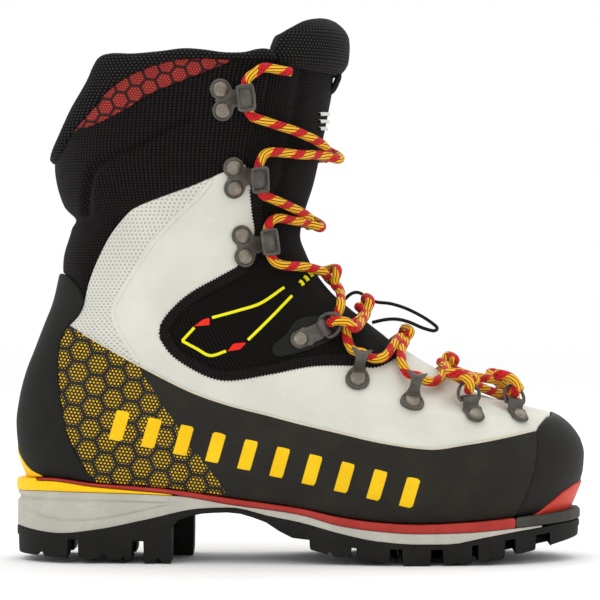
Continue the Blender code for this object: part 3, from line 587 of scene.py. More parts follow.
def lace_paint():
    """Braided lace: red with black flecks, giving way to bundles of yellow stripes along its length."""
    p = Paint("lace_braid")
    x, y = p.uv()  # x is round the lace, 0 to 1, and y is along it in mm
    stripes = p.ramp(p.wave(x + y * 0.0133, 1 / 9), 0.12, 0.26)
    band = p.ramp(p.wave(y + x * 14.5, 14.5), 0.36, 0.46)

    def crossed(around, along, period):
        """Strands that wind both ways round the lace."""
        one, other = (p.wave(x * turn + y * along, period) for turn in (around, -around))
        return one * other

    weave = crossed(18.0, 1.1, 1.5)
    fleck = p.ramp(crossed(6.0, 0.42, 1.0), 0.45, 0.6) * p.ramp(p.noise(p.place(), 0.3, 1.0), 0.4, 0.48)
    red = p.mix(fleck * 0.92, (206, 20, 28), (38, 10, 11))
    yellow = p.mix(p.ramp(weave, 0.05, 0.6), (248, 178, 20), (255, 216, 54))
    colour = p.mix(band, red, p.mix(stripes, (112, 40, 14), yellow))
    p.bump(weave + stripes * (band * 0.6), 0.3)
    return p.finish(colour, 0.65, sheen=0.05, specular=0.2)


WHITE = leather_paint("white_leather", (216, 216, 206), (204, 203, 192))
WHITE_HOLES = leather_paint("white_perforated_leather", (214, 214, 204), (204, 203, 193), holes=True)
RAND = rubber_paint("rand_rubber", (34, 32, 27), (44, 41, 34), print_on=honeycomb_print)
CAP = rubber_paint("toe_cap_rubber", (24, 23, 20), (33, 31, 27), roughness=0.6)
COUNTER = rubber_paint("heel_counter_rubber", (22, 22, 19), (31, 30, 26))
TREAD = rubber_paint("outsole_rubber", (20, 19, 17), (30, 29, 26), grain=0.9)
WELT = rubber_paint("toe_welt_rubber", (58, 56, 52), (78, 75, 70))
MIDSOLE = rubber_paint("midsole_foam", (176, 173, 162), (190, 187, 176), roughness=0.6, grain=0.8, depth=0.08)
YELLOW = rubber_paint("yellow_rubber", (247, 196, 2), (252, 208, 20), roughness=0.5, depth=0.05)
RED = rubber_paint("red_plastic", (160, 46, 40), (182, 60, 52), roughness=0.45, depth=0.05)
RED_INSERT = rubber_paint("red_toe_rubber", (196, 58, 42), (210, 72, 56), roughness=0.45, depth=0.05)
KNIT = knit_paint("cuff_knit", (8, 7, 7), (46, 39, 37), pitch=1.9, depth=0.4)
FLEX = knit_paint("flex_knit", (8, 7, 6), (36, 31, 28))
BINDING = knit_paint("binding_tape", (14, 13, 12), (46, 43, 40), pitch=1.5, depth=0.35)
TONGUE = knit_paint("tongue_knit", (9, 8, 8), (44, 39, 37), pitch=1.6)
MESH = dotted_paint("dotted_mesh", (11, 10, 10), (62, 59, 58), pitch=1.8)
HEXAGONS = hexagon_paint()
FLEECE = knit_paint("lining_fleece", (26, 24, 24), (52, 49, 48), pitch=2.2)
HARDWARE = metal_paint("grey_metal", (72, 69, 63), (96, 91, 83), 0.5, 0.3)
RIVET = metal_paint("rivet_metal", (120, 112, 100), (146, 138, 124), 0.38, 0.75)
LACE_PAINT = lace_paint()
CORD_PAINT = knit_paint("elastic_cord", (24, 24, 24), (56, 56, 56), pitch=0.6, depth=0.1)
PALE_PRINT = rubber_paint("pale_print", (206, 204, 198), (222, 220, 214), roughness=0.6, depth=0.02)
BOARD = rubber_paint("insole_board_fibre", (150, 132, 104), (172, 154, 124), roughness=0.85, grain=0.6)
SHANK = rubber_paint("shank_composite", (34, 34, 36), (48, 48, 51), roughness=0.45, grain=1.4)
BEIGE = rubber_paint("beige_edge", (198, 190, 168), (212, 205, 184), depth=0.03)
ACCENT_YELLOW = rubber_paint("yellow_print", (232, 226, 10), (240, 234, 30), roughness=0.45, depth=0.02)
PRINT_YELLOW = rubber_paint("gold_print", (238, 190, 6), (246, 202, 20), roughness=0.5, depth=0.02)
ACCENT_RED = rubber_paint("red_print", (222, 34, 14), (232, 46, 24), roughness=0.45, depth=0.02)


# ---------------------------------------------------------------- outlines, as x and z in mm
def middle_front(z):
    return (float(FRONT(z)), z)


def middle_back(z):
    return (float(BACK(z)), z)


def feather_line(*places, lift=0.3):
    return [(x, float(FEATHER(x)) + lift) for x in places]


RAND_TOP = curved([
    (-113, 117.6), (-98, 109), (-81, 99.5), (-54, 86), (-35, 79.5), (-16, 74.7), (0, 70.6), (20, 66),
    (39, 61.7), (58, 58.8), (68, 58.3), (82, 60.3), (97, 62.7), (119.7, 66.8),
])
COUNTER_EDGE = curved([
    (-103, 41), (-109, 49), (-115, 60), (-119, 72), (-121, 85), (-122.2, 100), (-121, 111.5), (-117, 120),
])
STAY_EDGE = curved([(-117, 120), (-112.5, 124.5), (-109.3, 131), (-110.5, 136.5), (-115, 142.5), (-120, 146)])
TOE_EDGE = curved([(108.4, 24.0), (112.6, 32.6), (116.6, 44.2), (119, 55.7), (119.7, 66.8), (122, 70), (125.5, 73)])
SEAM = curved([
    (-81, 99.8), (-85, 106), (-91, 115.6), (-94.8, 126.8), (-92, 134), (-83, 149), (-73.6, 162.5),
    (-64, 173), (-50, 186.3), (-43.5, 194.5),
])
FLEX_LOW = curved([
    (-70, 115.5), (-64, 106), (-55, 99.3), (-44, 94), (-36, 92.7), (-15, 96), (6, 100), (26, 100.3),
    (38, 99.5), (46, 102.8), (52, 106.5),
])
FLEX_HIGH = curved([
    (-70, 115.5), (-69.5, 121), (-62, 130.3), (-54, 136.5), (-40, 144.3), (-30, 150.8), (-22.6, 166.5),
    (-23.7, 177.8), (-25, 191.5),
])
WHITE_TOP = curved([
    (-109.3, 131), (-107, 141.4), (-102, 154), (-96, 165.4), (-91, 172), (-86, 177.2), (-81, 180),
    (-69, 184.6), (-54, 190), (-39, 196.6), (-27.5, 201),
])
KNIT_FRONT = curved([(-27.5, 201), (-28, 208), (-24, 217), (-20, 226), (-15, 246), (-12.6, 252.6)])
HEX_LOW = curved([
    (-114.4, 218.2), (-109, 219.6), (-102, 221.7), (-92.5, 226), (-83, 231), (-73.6, 236.6), (-64, 240.4),
    (-54, 244.3), (-45, 247.6), (-34, 252),
])
COLLAR_LOW = curved([
    middle_back(202.5), (-122.5, 207), (-114.4, 218.2), (-104, 229), (-96.5, 237.5), (-86.7, 244.2),
    (-75.6, 249), (-64, 252.3), (-53.6, 253.5), (-35, 253), (-12.5, 253),
])
COLLAR_HIGH = curved([
    (-11.2, 255), (-13, 257.8), (-18, 259), (-27, 257), (-38, 256.7), (-48, 258), (-58, 258.6), (-70, 257.2),
    (-84, 256.2), (-95, 256.6), (-101, 255.2), (-104, 251), (-107.5, 243.5), (-116.5, 229), (-122, 218),
    (-126, 210), middle_back(207),
])
PAD_LOW = curved([(-10.5, 252), (-4, 250.2), (4, 248.7), (12, 248), middle_front(247.2)])
PAD_HIGH = curved([
    middle_front(277.6), (9, 277), (3, 275), (-3, 271.2), (-8, 267.5), (-11, 262), (-12.2, 256),
    (-10.5, 252),
])


# ---------------------------------------------------------------- upper
def between(line, low, high):
    """The part of a line of (x, z) points whose x lies between two places."""
    return [p for p in line if low <= p[0] <= high]


def crease(points, width, depth):
    """A soft valley along a line of (x, z) points, on both sides of the boot."""
    line = np.array(curved(points, 3.0))

    def height(x, z):
        far = distance_to(line, np.stack([x, z], -1))
        return -depth * np.exp(-((far / width) ** 2))

    return height


def puff(rise, width):
    """A height function: padding that swells with the distance in from its seam."""
    return lambda x, z, inwards: rise * (1 - np.exp(-((inwards / width) ** 1.3)))


def make_rubber():
    counter = [middle_back(146.5), *STAY_EDGE[::-1], *COUNTER_EDGE[::-1][1:], *feather_line(-115, -128, -136),
               middle_back(42.8)]
    obj = panel("heel_counter_cover", counter, "back", COUNTER, top=1.5, thick=2.6, edge=1.3)
    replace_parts(bend(obj), "heel_counter", "heel_stay")
    for hand in SIDES:
        outline = feather_line(-103, -92, -80, -70, -62, -50, -35, -20, -8, 5, 20, 30, 39, 50, 60, 70, 80, 95, 108)
        outline += between(TOE_EDGE[1:], 107, 119.65) + RAND_TOP[::-1][1:] + COUNTER_EDGE[::-1][:-1]
        obj = panel(f"rand_{hand}_cover", outline, hand, RAND, top=0.9, thick=2.4, edge=0.8)
        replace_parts(bend(obj), f"rand_{hand}")
    toe = [middle_front(74.9), *TOE_EDGE[::-1], *feather_line(115, 125, 133), middle_front(27)]
    obj = panel("toe_cap_cover", toe, "front", CAP, top=0.6, thick=3.0, edge=1.0)
    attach(obj, "foot")
    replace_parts(obj, "toe_cap")


def make_white():
    front = [middle_front(75.4), *between(TOE_EDGE[::-1], 119.8, 130), *between(RAND_TOP[::-1], -81, 119.8)]
    front += SEAM + between(WHITE_TOP, -43, -20) + FLEX_HIGH[::-1][1:] + FLEX_LOW[1:] + [middle_front(107.4)]
    obj = panel("white_front", front, "front", WHITE, top=0.0, thick=2.0, edge=0.7)
    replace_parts(bend(obj), "vamp", "quarter_lateral", "quarter_medial")
    for hand in SIDES:
        over = [(x + 0.7, z) for x, z in SEAM[::-1]]
        corner = [p for p in STAY_EDGE if p[1] < 130]
        quarter = between(RAND_TOP[::-1], -120, -82) + corner + between(WHITE_TOP, -110, -44.5) + over
        obj = panel(f"quarter_{hand}_cover", quarter, hand, WHITE_HOLES, top=0.12, thick=2.0, edge=0.5)
        bend(obj)


def make_textiles():
    fold = [(-56, 223), (-66, 218.5), (-75, 213), (-90, 206.4), (-101, 200.5), (-105, 193), (-107, 178)]
    short_fold = [(-122, 176), (-112, 173), (-104, 171)]
    folds = [crease(fold, 2.0, 3.2), crease(fold, 9.0, -1.4), crease(short_fold, 3.0, 1.6)]
    swell = puff(1.6, 6)

    def height(x, z, inwards):
        return swell(x, z, inwards) + sum(valley(x, z) for valley in folds)

    cuff = [middle_back(147), *STAY_EDGE[::-1][:-4], *WHITE_TOP, *KNIT_FRONT[1:-1], (-11.8, 254.2), (-34, 254.2),
            *HEX_LOW[::-1][1:], *between(COLLAR_LOW, -150, -114.8)[::-1]]
    obj = panel("cuff_cover", cuff, "back", KNIT, top=-0.3, thick=2.2, edge=1.2, height=height, grid=1.7)
    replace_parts(bend(obj), "cuff")
    for hand in SIDES:
        outline = HEX_LOW + between(COLLAR_LOW, -113.8, -35)[::-1]
        obj = panel(f"hex_panel_{hand}_cover", outline, hand, HEXAGONS, top=0.2, thick=2.0, edge=0.8,
                    height=puff(1.0, 4))
        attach(obj, "cuff")
        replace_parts(obj, f"hex_panel_{hand}")
        flex = FLEX_LOW + [(49, 109), (34, 118), (20, 129), (8, 141), (-2, 154), (-8, 168), (-16, 190)]
        flex += between(FLEX_HIGH, -80, -20)[::-1][:-1]
        obj = panel(f"flex_panel_{hand}_cover", flex, hand, FLEX, top=-0.5, thick=1.6, edge=0.8)
        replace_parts(bend(obj), f"flex_panel_{hand}")


def make_tongue():
    def height(x, z, inwards):
        ridge = np.exp(-(((x - FRONT(z) + 17) / 2.4) ** 2))
        return -1.6 + 1.6 * ease(inwards / 14) - 1.5 * ridge

    outline = [middle_front(106), (47, 106), (32, 112), (18, 120), (4, 134), (-8, 148), (-17, 168), (-30, 190),
               (-36, 207), (-33, 217), (-29, 226), (-24, 246), (-20, 254), (-4, 252), (6, 250), middle_front(249.5)]
    obj = panel("tongue_cover", outline, "front", TONGUE, top=-0.4, thick=4.0, edge=1.5, height=height)
    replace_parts(bend(obj), "tongue_lower", "tongue_upper")

    pad = panel("tongue_pad_cover", PAD_HIGH + PAD_LOW[1:], "front", MESH, top=0.4, thick=9.0, edge=3.0, grid=1.8,
                height=puff(3.0, 7), back=True)
    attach(pad, "tongue_top")
    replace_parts(pad, "tongue_pad")


def make_collar():
    collar = panel("collar_cover", COLLAR_LOW + COLLAR_HIGH, "back", MESH, top=0.8, thick=8.0, edge=2.2, grid=1.8,
                   height=puff(2.6, 3.5), back=True)
    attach(collar, "cuff")
    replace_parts(collar, "collar")


def make_lining():
    outline = [middle_back(45), *feather_line(-130, -115, -90, -62, -35, -20, 10, 40, 70, 100, 125, lift=1.0),
               middle_front(28),
               middle_front(60), middle_front(80), middle_front(104), (30, 107), (14, 118), (0, 132), (-12, 150),
               (-20, 168), (-26, 190), (-31, 207), (-24, 224), (-17, 246), (-14, 254), (-35, 254), (-60, 253.5),
               (-80, 248.5), (-98, 238), (-108, 226), (-120, 211), middle_back(204.5)]
    obj = panel("lining_cover", outline, "back", FLEECE, top=-4.2, thick=2.2, edge=0.8, grid=3.2, back=True)
    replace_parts(bend(obj), "lining_foot", "lining_cuff")


def stroke(name, line, width, material, hand, out, thick=0.6, teeth=0.0, step=0.8):
    """A narrow raised band on one side, along (x, z) points. teeth roughens its edges by so many mm."""
    line = walk(curved(line, step), step)
    ahead = np.gradient(line, axis=0)
    ahead /= np.maximum(1e-9, np.linalg.norm(ahead, axis=1, keepdims=True))
    across = np.stack([-ahead[:, 1], ahead[:, 0]], -1)
    along = np.arange(len(line)) * step
    jag = teeth * np.abs((along / 1.6) % 1 * 2 - 1)
    rings, uvs, sides = [], [], []
    for share, lift in ((-1, -thick), (-0.96, -0.1), (-0.7, 0), (0, 0.12), (0.7, 0), (0.96, -0.1), (1, -thick)):
        flat = line + across * (share * (width / 2 + jag * abs(share) ** 3))[:, None]
        angle = angle_at(flat[:, 0], flat[:, 1], SIDES[hand])
        rings.append(off_last(angle, flat[:, 1], np.full(len(flat), out + lift)))
        uvs += list(np.stack([along, np.full(len(flat), share * width / 2)], -1))
        sides += list(flat)
    return new_object(name, np.vstack(rings), strip_of(rings, closed=False), material, uvs, sides)


# The row of bars on the rand: how many, the first one's middle, and the step to the next.
BARS, FIRST_BAR, BAR_STEP = 10, (-91, 69.5), (16.2, -3.62)
BAR = ((-5.4, -6.6), (1.2, -8.1), (5.4, 6.6), (-1.2, 8.1))
FLEX_LINES = (
    [(-44.3, 124.0), (-31, 127.7), (-20, 131.3), (-8, 139.4)], [(-26.2, 112.8), (-15.2, 123.6), (-4, 135.2)],
    [(-53.2, 119.0), (-59.4, 112.3)], [(-59.4, 112.3), (-52, 108.3), (-45.3, 104.9), (-37.2, 107.2)],
)
FLEX_TIPS = (
    [(-53.5, 119.6), (-49, 123.0), (-45.4, 124.2), (-45.6, 120.2)],
    [(-36.6, 107), (-33.6, 111), (-26.8, 111.6), (-30, 108.0)],
)


def make_prints():
    """The print on the rand and the flex panels, the bindings, and the edge of the rand. All marks are generic."""
    for hand in SIDES:
        for i in range(BARS):
            x, z = FIRST_BAR[0] + BAR_STEP[0] * i, FIRST_BAR[1] + BAR_STEP[1] * i
            bar = [(x + dx, z + dz) for dx, dz in BAR]
            obj = panel(f"rand_bar_{hand}_{i + 1}", walk_round(bar, 1.2), hand, PRINT_YELLOW, top=1.12, thick=0.6,
                        edge=0.25, grid=2.5)
            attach(obj, "foot")
        seam = [(x + 0.4, z) for x, z in SEAM[1:-1]]
        bend(stroke(f"quarter_seam_{hand}", seam, 2.2, WHITE, hand, 0.32, 1.0))
        edge = [(x, z + 0.3) for x, z in RAND_TOP if -110 < x < 119]
        bend(stroke(f"rand_edge_{hand}", edge, 0.9, BEIGE, hand, 0.75, 1.2))
        low = [(x, z + 2.0) for x, z in FLEX_LOW[2:] if x < 50]
        high = [(x + 1.9, z - 1.0) for x, z in FLEX_HIGH[2:] if z < 190]
        tip = [(-67.9, 113), (-68.4, 116), (-67.9, 119.5)]
        around = high[::-1] + tip[::-1] + low
        bend(stroke(f"flex_binding_{hand}", around, 4.3, BINDING, hand, 0.45, 1.4, teeth=0.9, step=0.4))
        for i, line in enumerate(FLEX_LINES, 1):
            bend(stroke(f"flex_line_{hand}_{i}", line, 1.5, ACCENT_YELLOW, hand, 0.0, 0.5))
        for i, tip in enumerate(FLEX_TIPS, 1):
            bend(panel(f"flex_tip_{hand}_{i}", walk_round(tip, 0.9), hand, ACCENT_RED, thick=0.6, edge=0.2, grid=1.5))
        for i in range(3):
            x, z = 0.6 + 2.4 * i, 141.6 + 2.3 * i
            dash = [(x - 1.2, z + 1.1), (x, z + 0.5), (x + 1.1, z - 1.3)]
            bend(stroke(f"tongue_dash_{hand}_{i + 1}", dash, 0.9, ACCENT_YELLOW, hand, 0.9, 1.6))


# ---------------------------------------------------------------- shapes made of several parts
class Build:
    """Gathers the parts of one mesh, each with its own material, and puts them all in place by a matrix."""

    def __init__(self, matrix=np.eye(4)):
        self.matrix = matrix
        self.vertices, self.faces, self.slots, self.uvs, self.materials = [], [], [], [], []

    def add(self, material, vertices, faces, uvs=None):
        vertices = np.array(vertices, float) @ self.matrix[:3, :3].T + self.matrix[:3, 3]
        if material not in self.materials:
            self.materials.append(material)
        start = len(self.vertices)
        self.vertices += list(vertices)
        self.faces += [tuple(start + i for i in f) for f in faces]
        self.slots += [self.materials.index(material)] * len(faces)
        self.uvs += list(uvs) if uvs is not None else [(0, 0)] * len(vertices)
        return self

    def make(self, name, smooth_angle=40):
        obj = new_object(name, self.vertices, self.faces, self.materials[0], self.uvs)
        for material in self.materials[1:]:
            obj.data.materials.append(material)
        obj.data.polygons.foreach_set("material_index", self.slots)
        if smooth_angle:
            obj.data.set_sharp_from_angle(angle=math.radians(smooth_angle))
        return obj


def on_side(x, z, side, out=0.0):
    """A point of the surface at x and z on one side, and out from it."""
    return off_last(angle_at(x, z, side), z, out)


def frame_on(x, z, side, forward):
    """A matrix on the boot at x and z: its x axis along forward (an x, z direction), its z axis outwards."""
    d = 0.5
    along = on_side(x + d, z, side) - on_side(x - d, z, side)
    up = on_side(x, z + d, side) - on_side(x, z - d, side)
    out = np.cross(along, up) * -side
    out /= np.linalg.norm(out)
    u = along * forward[0] + up * forward[1]
    u = u - out * (u @ out)
    u /= np.linalg.norm(u)
    matrix = np.eye(4)
    matrix[:3, 0], matrix[:3, 1], matrix[:3, 2] = u, np.cross(out, u), out
    matrix[:3, 3] = on_side(x, z, side)
    return matrix


def strip_of(rings, closed=True):
    """The faces between rings of points, each as many points long."""
    faces, n = [], len(rings[0])
    for r in range(len(rings) - 1):
        for i in range(n if closed else n - 1):
            j = (i + 1) % n
            faces.append((r * n + i, r * n + j, (r + 1) * n + j, (r + 1) * n + i))
    return faces


def loft(rings):
    """A closed shape through rings of points, with fans from the middle over its ends."""
    vertices = [tuple(p) for ring in rings for p in ring]
    faces, n = strip_of(rings), len(rings[0])
    for ring, base in ((rings[0], 0), (rings[-1], (len(rings) - 1) * n)):
        vertices.append(tuple(np.mean(ring, axis=0)))
        faces += [(base + i, base + (i + 1) % n, len(vertices) - 1) for i in range(n)]
    return vertices, faces


def stack(rings):
    """A closed shape through rings of points that run out along one side and back along the other."""
    n = len(rings[0])
    faces = strip_of(rings)
    for base in (0, (len(rings) - 1) * n):
        faces += [(base + i, base + i + 1, base + n - 2 - i, base + n - 1 - i) for i in range(n // 2 - 1)]
    return [tuple(p) for ring in rings for p in ring], faces


RIVET_RIM, RIVET_BASE = 0.5, 1.7  # a rivet's rim, and how high on its plate it lies


def dome(x, y, radius, height):
    """A rivet's head on a plate: a low rim and a flat dome in it."""
    profile = [
        (radius + RIVET_RIM, 0), (radius + RIVET_RIM, 0.7), (radius + RIVET_RIM / 2, 1.0), (radius + 0.1, 0.8),
        (radius, 0.5), (radius, 0.9), (radius * 0.93, height * 0.72), (radius * 0.75, height * 0.9),
        (radius * 0.4, height), (radius * 0.1, height + 0.02),
    ]
    angles = np.linspace(0, 2 * np.pi, 32, endpoint=False)
    return loft([[(x + r * np.cos(a), y + r * np.sin(a), RIVET_BASE + h) for a in angles] for r, h in profile])


def plate(loop, low, high, bevel=0.35):
    """A flat plate with an outline (x, y) and rounded upper edges."""
    loop = np.array(loop, float)
    edge = ((0, low), (0, high - bevel), (bevel * 0.3, high - bevel * 0.3), (bevel, high))
    rings = [[(x, y, z) for x, y in inset_loop(loop, inwards)] for inwards, z in edge]
    vertices = [p for ring in rings for p in ring]
    n = len(loop)
    faces = strip_of(rings)
    flat, _, caps, *_ = delaunay_2d_cdt([Vector(p[:2]) for p in rings[-1]], [(i, (i + 1) % n) for i in range(n)], [],
                                        1, 1e-7)
    if len(flat) == n:
        faces += [tuple(3 * n + i for i in f) for f in caps]
        faces += [tuple(f[::-1]) for f in caps]
    return vertices, faces


def ribbon(line, width, thick, dish=0.0, notch=0.0, columns=9):
    """A bent strip: line is (x, z), width a function of the share of its length. Its edges turn up by dish.

    notch is how much shorter it is in the middle than at its edges, as a share of its length.
    """
    line = walk(curved(line, 0.5), 0.5)
    steps = np.linalg.norm(np.diff(line, axis=0), axis=1)
    at = np.concatenate([[0], np.cumsum(steps)])
    across = np.linspace(-1, 1, columns)
    rows = np.linspace(0, 1, len(line))
    tops, bottoms = [], []
    for share in rows:
        top, bottom = [], []
        for t in across:
            s = at[-1] * share * (1 - notch * (1 - abs(t)) * share)
            (x1, x, x2), (z1, z, z2) = (np.interp([s - 0.2, s, s + 0.2], at, line[:, k]) for k in (0, 1))
            n = np.array([-(z2 - z1), x2 - x1])
            n /= max(1e-9, np.linalg.norm(n))
            half = width(share) / 2
            rim = thick / 2 * math.sqrt(max(0.05, 1 - abs(t) ** 6))
            lift = dish * t * t
            top.append((x + n[0] * (rim + lift), t * half, z + n[1] * (rim + lift)))
            bottom.append((x + n[0] * (lift - rim), t * half, z + n[1] * (lift - rim)))
        tops.append(top)
        bottoms.append(bottom[::-1])
    return loft([a + b for a, b in zip(tops, bottoms)])


def round_loop(points, step=0.8):
    """A smooth closed loop through points."""
    p = [np.array(q, float) for q in points]
    line = []
    for i in range(len(p)):
        a, b, c, d = (p[(i + k) % len(p)] for k in (-1, 0, 1, 2))
        count = max(2, int(np.linalg.norm(c - b) / step))
        line += [curve_at(a, b, c, d, t) for t in np.arange(count) / count]
    return np.array(line)


def sweep(line, radius, count, closed=False):
    """A round tube along a line, with how far round (0 to 1) and along it (mm) for each vertex."""
    line = np.array(line, float)
    ahead = np.roll(line, -1, axis=0) - np.roll(line, 1, axis=0)
    if not closed:
        ahead[0], ahead[-1] = line[1] - line[0], line[-1] - line[-2]
    ahead /= np.linalg.norm(ahead, axis=1, keepdims=True)
    normal = np.cross(ahead[0], (0.3, 0.2, 1.0))
    normal /= np.linalg.norm(normal)
    far = np.concatenate([[0], np.cumsum(np.linalg.norm(np.diff(line, axis=0), axis=1))])
    vertices, uvs = [], []
    for i, p in enumerate(line):
        normal = normal - ahead[i] * (normal @ ahead[i])
        normal /= np.linalg.norm(normal)
        other = np.cross(ahead[i], normal)
        for a in np.linspace(0, 2 * np.pi, count + 1):
            vertices.append(p + (normal * np.cos(a) + other * np.sin(a)) * radius)
            uvs.append((a / 2 / np.pi, far[i]))
    faces, n = [], count + 1
    for r in range(len(line) - (0 if closed else 1)):
        s = (r + 1) % len(line)
        faces += [(r * n + i, r * n + i + 1, s * n + i + 1, s * n + i) for i in range(count)]
    if not closed:
        faces += [tuple(range(count)), tuple((len(line) - 1) * n + i for i in range(count))]
    return vertices, faces, uvs


def make_tongue_tab():
    """The webbing tab sewn on the front of the tongue, and three short dashes beside it."""
    line = [(float(FRONT(z)) + lift, z) for z, lift in ((239.5, -3.0), (241.3, -0.8), (245, 0.3), (248.7, 0.2),
                                                        (250.4, -2.2))]
    vertices, faces = ribbon(line, lambda share: 14.0, 3.2, columns=15)
    tab = Build().add(BINDING, vertices, faces, uvs=[(p[1], p[2]) for p in vertices])
    keep(tab, "tongue_tab", "cuff")
    for i, z in enumerate((228.2, 224.6, 221.0), 1):
        dash = stroke(f"tongue_label_{i}", [(9.8, z - 0.5), (12, z - 0.1), (14.4, z + 0.3)], 1.6, PALE_PRINT,
                      "lateral",
                      1.0, 2.4)
        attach(dash, "cuff")


# ---------------------------------------------------------------- hooks, guides, rings
# The folded straps, as x along the plate and z out from the boot. Hooks are at (x, z), and guides and clips at
# (x, z, lean), where lean is how far they tip from straight up.
HOOK_LINE = [(7, 1.5), (12.5, 1.7), (15, 3.2), (15.6, 6), (15, 8.8), (12.5, 10.2), (6.5, 10)]
HOOK_FORWARD = (1, 0.12)
HOOKS = ((-39, 233), (-33, 194.5), (-28.5, 160))
GUIDES = ((29, 94.5, 0.15), (56, 82.5, 0.12))
GUIDE_LINE = [(0.5, 1.3), (3.0, 1.7), (4.3, 4.8), (5.2, 7.8), (7.4, 9.3), (10.8, 9.3)]
CLIPS = ((87, 75.5, -0.45), (110, 74.5, -0.5))
CLIP_LINE = [(-1, 1.4), (4, 1.4), (5.5, 1.6), (6.3, 3.2), (7.4, 4.2), (8.8, 4.3), (9.9, 3.4), (9.9, 1.7), (8.9, 0.8)]
RING_TILT, RING_AXIS = 0.6, (8.2, 2.6)  # how far a ring lifts from the boot, and where its bar lies in its clip
RING_BAR, RING_HALF, RING_CORNER = 5.0, 6.3, 0.38  # half the bar and half the bow, and the angle where the bow starts
RING_SIZE, ANKLE_RING_SIZE = (9.2, 1.7), (10.2, 1.9)  # how far a ring reaches from its bar, and its wire
ANKLE_RING = (1, 113, 0.42)
ANKLE_STRAP = 4.0  # how much longer the strap of the ankle ring's clip is


def arc(x, y, radius, start, end, count):
    return [(x + radius * math.cos(a), y + radius * math.sin(a)) for a in np.radians(np.linspace(start, end, count))]


def hook_width(share):
    return 8.0 + 3.6 * ease((share - 0.35) / 0.3)


def guide_width(share):
    return 9.0 - 3.6 * ease(share / 0.5) + 5.2 * ease((share - 0.64) / 0.34)


def speed_hook(side, place):
    """A trefoil plate with two rivets, and a tray folded back over the lace."""
    b = Build(frame_on(*place, side, HOOK_FORWARD))
    lobe = arc(-0.5, 5.4, 5.3, 20, 240, 22)
    outline = [(8, 4.2), (5.6, 4.6), *lobe, (-3.9, 0.0)] + [(x, -y) for x, y in lobe[::-1]] + [(5.6, -4.6), (8, -4.2)]
    b.add(HARDWARE, *plate(outline, 0.5, 1.9))
    b.add(HARDWARE, *ribbon(HOOK_LINE, hook_width, 1.2, dish=1.1, columns=15))
    frame_loop = [(6.6, -4.9), (6.9, -5.6), (8, -6.1), (13, -6.1), (14.3, -5.4), (14.6, 0), (14.3, 5.4), (13, 6.1),
                  (8, 6.1), (6.9, 5.6), (6.6, 4.9), (6.6, 0)]
    rim = [(x, y, 11.0 + 0.5 * (y / 6) ** 2) for x, y in round_loop(frame_loop, 0.6)]
    b.add(HARDWARE, *sweep(rim, 0.75, 8, closed=True))
    for y in (-5.4, 5.4):
        b.add(RIVET, *dome(-0.5, y, 3.7, 1.5))
    return b


def lace_guide(side, place, lean):
    """A teardrop plate with one big rivet, and a waisted tongue that ends in two horns over the lace."""
    b = Build(frame_on(*place, side, (lean, 1)))
    outline = round_loop([(4.2, 2.6), (2, 4.8), (-2, 6.1), (-6, 4.7), (-7.9, 0), (-6, -4.7), (-2, -6.1), (2, -4.8),
                          (4.2, -2.6)])
    b.add(HARDWARE, *plate(outline, 0.5, 1.9))
    b.add(HARDWARE, *ribbon(GUIDE_LINE, guide_width, 1.6, dish=1.0, notch=0.2, columns=15))
    b.add(RIVET, *dome(-1.6, 0, 3.9, 1.5))
    return b


def ring_clip(side, place, forward, wide=9.0, further=0.0):
    """A rounded plate with a rivet, folded round the bar of a ring."""
    b = Build(frame_on(*place, side, forward))
    outline = round_loop([(4.2, wide / 2), (0, 4.7), (-4, 4.2), (-6.2, 0), (-4, -4.2), (0, -4.7), (4.2, -wide / 2)])
    b.add(HARDWARE, *plate(outline, 0.6, 1.8))
    line = CLIP_LINE[:1] + [(x + further, z) for x, z in CLIP_LINE[1:]]
    b.add(HARDWARE, *ribbon(line, lambda share: wide - 0.4 + 0.4 * share, 1.0))
    b.add(RIVET, *dome(-1.2, 0, 3.4, 1.4))
    return b


def ring(side, place, forward, reach, wire, further=0.0):
    """A D-shaped wire ring, lying in its clip by its straight bar."""
    shape = [(0, -RING_BAR), (0, 0), (0, RING_BAR)]
    bow = np.linspace(RING_CORNER, math.pi - RING_CORNER, 9)
    shape += [(reach * math.sin(a), RING_HALF * math.cos(a)) for a in bow]
    c, s = math.cos(RING_TILT), math.sin(RING_TILT)
    line = [(RING_AXIS[0] + further + x * c, y, RING_AXIS[1] + x * s) for x, y in round_loop(shape)]
    return Build(frame_on(*place, side, forward)).add(HARDWARE, *sweep(line, wire / 2, 12, closed=True))


def make_hardware():
    for hand, side in SIDES.items():
        for i, place in enumerate(HOOKS, 1):
            keep(speed_hook(side, place), f"speed_hook_{hand}_{i}", "cuff")
        for i, (x, z, lean) in enumerate(GUIDES, 1):
            keep(lace_guide(side, (x, z), lean), f"lace_guide_{hand}_{i}", "foot")
        for i, (x, z, lean) in enumerate(CLIPS, 1):
            keep(ring_clip(side, (x, z), (lean, 1)), f"ring_clip_{hand}_{i}", "foot")
            keep(ring(side, (x, z), (lean, 1), *RING_SIZE), f"ring_{hand}_{i}", f"ring_{hand}_{i}")
        x, z, lean = ANKLE_RING
        keep(ring_clip(side, (x, z), (1, lean), further=ANKLE_STRAP), f"ankle_ring_clip_{hand}", "foot")
        keep(ring(side, (x, z), (1, lean), *ANKLE_RING_SIZE, ANKLE_STRAP), f"ankle_ring_{hand}", f"ankle_ring_{hand}")
        patch = round_loop([(-12, 104.5), (-1, 106.2), (9, 109.5), (16.5, 113.5), (19.5, 119), (14, 123.5), (4, 124.5),
                            (-2.5, 122), (-7, 116), (-11, 112.5), (-14, 109)])
        obj = panel(f"ankle_patch_{hand}", [tuple(p) for p in patch], hand, COUNTER, top=0.7, thick=1.6, edge=0.9)
        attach(obj, "foot")


